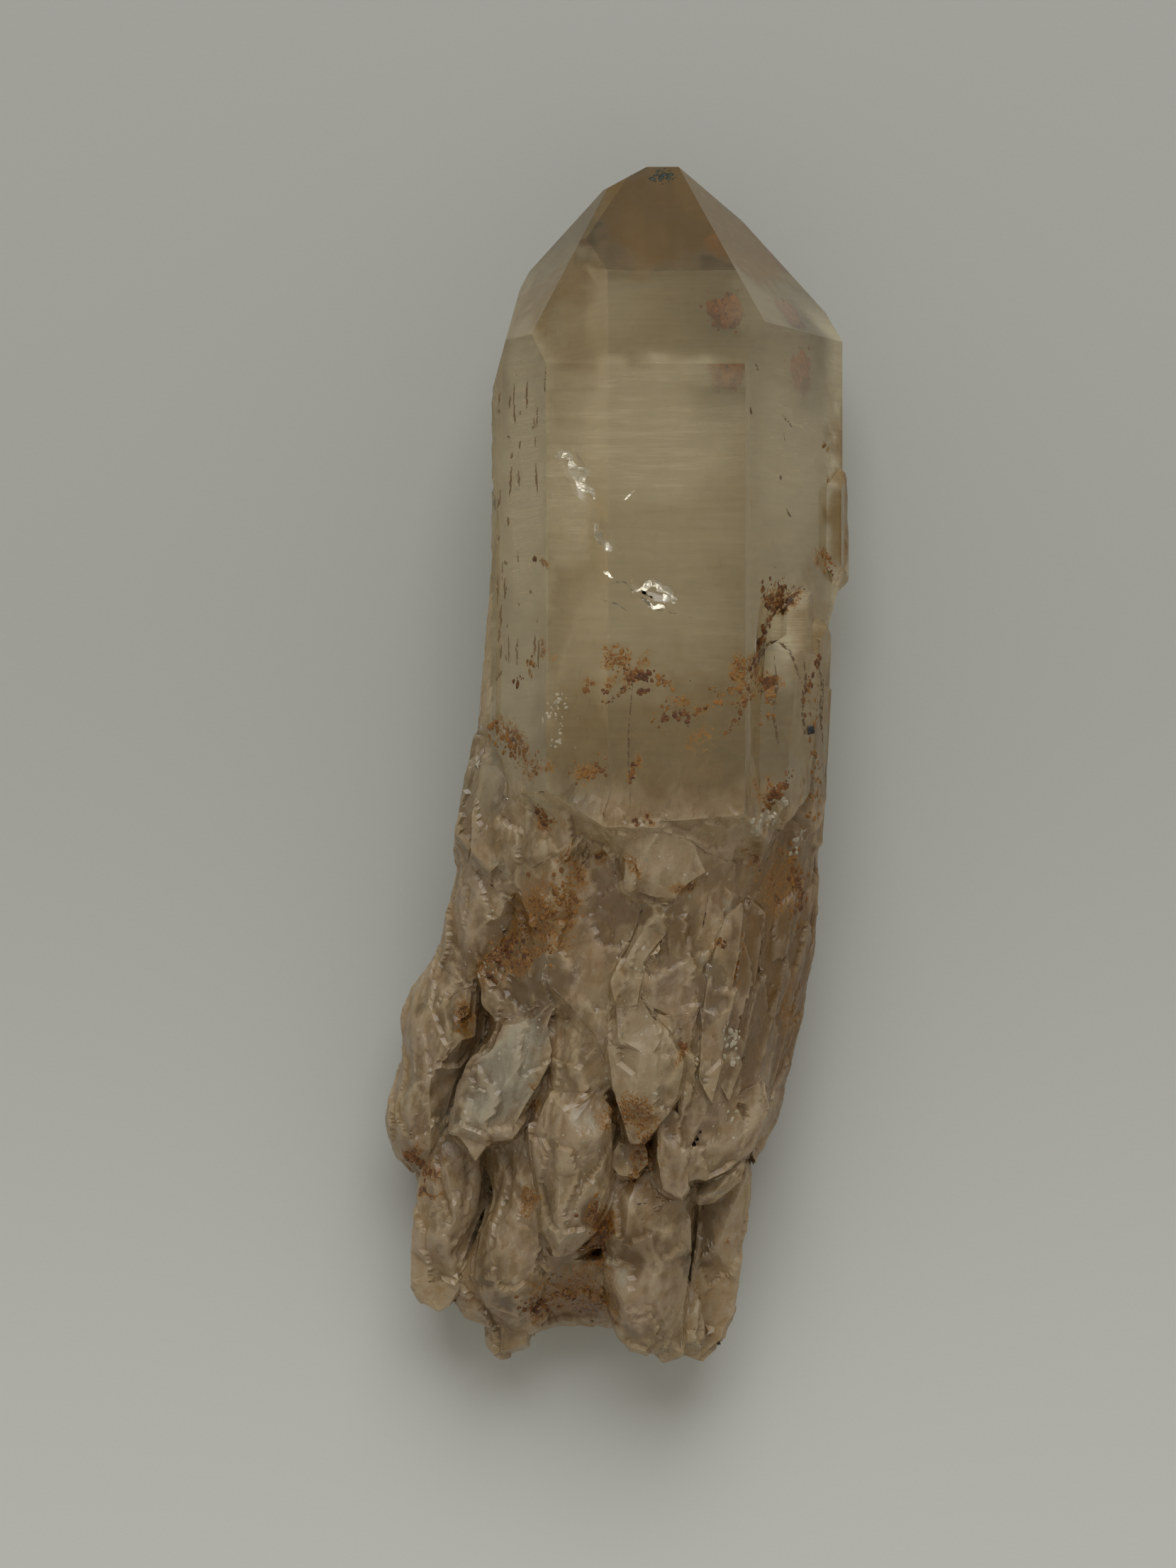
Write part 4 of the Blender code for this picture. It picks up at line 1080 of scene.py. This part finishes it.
def make_crumbs(crystal):
    """Rust crumbs in chains on the crystal, and dark specks in its point."""
    chance = random.Random(11)
    model = crumb_model()
    dark = plain_mineral("rust_dark", (0.070, 0.022, 0.005, 1.0), (0.22, 0.085, 0.013, 1.0), 1.4, 0.7)
    ochre = plain_mineral("rust_ochre", (0.13, 0.050, 0.009, 1.0), (0.30, 0.135, 0.022, 1.0), 1.4, 0.7)
    green = plain_mineral("black_green_mineral", (0.010, 0.014, 0.008, 1.0), (0.03, 0.04, 0.02, 1.0), 1.4, 0.5)
    copies("rust_dark_crumbs", model, chains(crystal, DARK_RUST, 0.0, chance), dark)
    copies("rust_ochre_crumbs", model, chains(crystal, OCHRE_RUST, 0.0, chance), ochre)
    copies("tip_specks", model, chains(crystal, SPECKS, SPECK_LIFT, chance), green)
    pale = plain_mineral("pale_quartz_flakes", (0.30, 0.25, 0.16, 1.0), (0.50, 0.43, 0.31, 1.0), 1.2, 0.25)
    copies("pale_flakes", model, chains(crystal, PALE_FLAKES, 0.0, chance, FLAKE_FLATNESS), pale)


def lump(name, centre, half_sizes, seed, material, unevenness=0.28):
    """A small uneven lump."""
    bpy.ops.object.select_all(action="DESELECT")
    bpy.ops.mesh.primitive_ico_sphere_add(subdivisions=4, radius=1.0)
    piece = bpy.context.object
    offset = Vector((seed * 3.7, seed * 1.9, seed * 5.3))
    for vertex in piece.data.vertices:
        swell = 1.0 + unevenness * 2.0 * noise.noise(vertex.co * 1.6 + offset)
        swell += unevenness * 0.6 * noise.noise(vertex.co * 5.0 + offset)
        scaled = Vector([vertex.co[axis] * half_sizes[axis] for axis in range(3)])
        vertex.co = place(*centre) + scaled * (swell * MM)
    for polygon in piece.data.polygons:
        polygon.use_smooth = True
    dress(piece, name, material)


INCLUSION_PLACE = (5.6, 38.3, 3.4)
INCLUSION_GRAINS = 190
INCLUSION_SPREAD = (0.70, 0.85, 0.65)


def make_inclusions():
    """The red-brown inclusion under the front of the prism, with a fuzz of grains round it."""
    red = plain_mineral("red_brown_mineral", (0.20, 0.042, 0.008, 1.0), (0.44, 0.140, 0.026, 1.0), 1.6, 0.7)
    haze = speckled("red_brown_haze", (0.46, 0.16, 0.030, 1.0), 0.7, 0.30, 3.2)
    lump("inclusion", INCLUSION_PLACE, (0.95, 1.15, 1.0), 1, red)
    lump("inclusion_haze", INCLUSION_PLACE, (1.45, 1.75, 1.45), 3, haze)
    chance = random.Random(7)
    matrices = []
    for _ in range(INCLUSION_GRAINS):
        away = [chance.gauss(0.0, spread) for spread in INCLUSION_SPREAD]
        size = chance.uniform(0.06, 0.17)
        x, y, z = [centre + part for centre, part in zip(INCLUSION_PLACE, away)]
        turn = Matrix.Rotation(chance.uniform(0.0, math.tau), 4, "X")
        matrices.append(Matrix.Translation(place(x, y, max(z, 1.4))) @ turn @ Matrix.Scale(size * MM, 4))
    copies("inclusion_grains", crumb_model(), matrices, red)


BLACK_CUBE_PLACE = (12.6, 4.8)
BLACK_CUBE_SIZE = 0.8


def make_black_cube(crystal):
    """A small black crystal of cubic habit, half sunk in the side of the prism."""
    spot, _ = surface_at(crystal, *BLACK_CUBE_PLACE)
    bpy.ops.object.select_all(action="DESELECT")
    bpy.ops.mesh.primitive_cube_add(size=BLACK_CUBE_SIZE * MM)
    piece = bpy.context.object
    soft = piece.modifiers.new("edges", "BEVEL")
    soft.width = 0.07 * MM
    soft.segments = 2
    bpy.ops.object.modifier_apply(modifier="edges")
    stand = Matrix.Translation(spot) @ Matrix.Rotation(math.radians(12.0), 4, "Z")
    piece.data.transform(stand @ Matrix.Diagonal((1.0, 0.9, 0.8, 1.0)))
    black = plain_mineral("black_mineral", (0.006, 0.006, 0.007, 1.0), (0.02, 0.02, 0.02, 1.0), 2.0, 0.35)
    dress(piece, "black_cube", black)


# Surroundings


def make_floor():
    """A pale paper surface, coloured darker towards the top as painted shade."""
    bpy.ops.mesh.primitive_plane_add(size=2.0, location=(0.0, 0.0, -FLOOR_GAP * MM))
    floor = bpy.context.object
    floor.name = "floor"
    graph = Graph("paper")
    places = graph.places()
    along = graph.add("ShaderNodeSeparateXYZ", {}, {"Vector": places}).out("Y")
    # Painted shade: the paper's colour darkens towards the top, where less light falls on it.
    painted_shade_towards_top = along.rise(-100.0, 20.0)
    colour = graph.blend(painted_shade_towards_top, (0.685, 0.695, 0.655, 1.0), (0.49, 0.497, 0.46, 1.0))
    normal = graph.bump(graph.noise(places, 2.5, 3.0), 0.05, 0.25)
    floor.data.materials.append(
        graph.close(graph.surface({"Base Color": colour, "Roughness": 0.8, "Normal": normal}))
    )


def aim(thing, target):
    """Turns a light or camera to look at a place."""
    thing.rotation_euler = (target - thing.location).to_track_quat("-Z", "Y").to_euler()


def make_light(name, location, size, power):
    """A soft square light aimed at the crystal."""
    data = bpy.data.lights.new(name, "AREA")
    data.size = size
    data.energy = power
    data.color = WINDOW_COLOUR
    light = bpy.data.objects.new(name, data)
    bpy.context.scene.collection.objects.link(light)
    light.location = location
    aim(light, Vector((0.0, 0.0, 0.0)))


def make_lights():
    """Soft light from the top left, and an even sky that is brightest half way up."""
    make_light("window", (0.02, 0.98, 1.02), 1.0, 10.4)
    world = bpy.data.worlds.new("sky")
    bpy.context.scene.world = world
    world.use_nodes = True
    tree = world.node_tree
    direction = tree.nodes.new("ShaderNodeTexCoord")
    parts = tree.nodes.new("ShaderNodeSeparateXYZ")
    ramp = tree.nodes.new("ShaderNodeValToRGB")
    while len(ramp.color_ramp.elements) < len(SKY):
        ramp.color_ramp.elements.new(1.0)
    for stop, (height, light) in zip(ramp.color_ramp.elements, SKY):
        stop.position = height
        stop.color = [light * share for share in SKY_COLOUR] + [1.0]
    tree.links.new(direction.outputs["Generated"], parts.inputs["Vector"])
    tree.links.new(parts.outputs["Z"], ramp.inputs["Fac"])
    tree.links.new(ramp.outputs["Color"], tree.nodes["Background"].inputs["Color"])
    tree.nodes["Background"].inputs["Strength"].default_value = 1.0


def make_camera():
    """The camera straight above, at the distance that gives the photograph's frame."""
    data = bpy.data.cameras.new("camera")
    camera = bpy.data.objects.new("camera", data)
    bpy.context.scene.collection.objects.link(camera)
    data.sensor_width = SENSOR
    data.lens = SENSOR * (CAMERA_HEIGHT - FOCUS_HEIGHT) / VIEW_HEIGHT
    data.clip_start = 0.01
    camera.location = place(*CAMERA_PLACE, CAMERA_HEIGHT)
    bpy.context.scene.camera = camera


scene = bpy.context.scene
scene.view_settings.view_transform = "Standard"
scene.cycles.max_bounces = LIGHT_BOUNCES
scene.cycles.transmission_bounces = LIGHT_BOUNCES
scene.cycles.glossy_bounces = GLOSSY_BOUNCES
scene.cycles.diffuse_bounces = DIFFUSE_BOUNCES
crystal = make_crystal()
crystal.data.materials.clear()
crystal.data.materials.append(quartz())
bpy.context.view_layer.update()
make_inclusions()
make_lines(crystal)
make_crumbs(crystal)
make_black_cube(crystal)
make_floor()
make_lights()
make_camera()
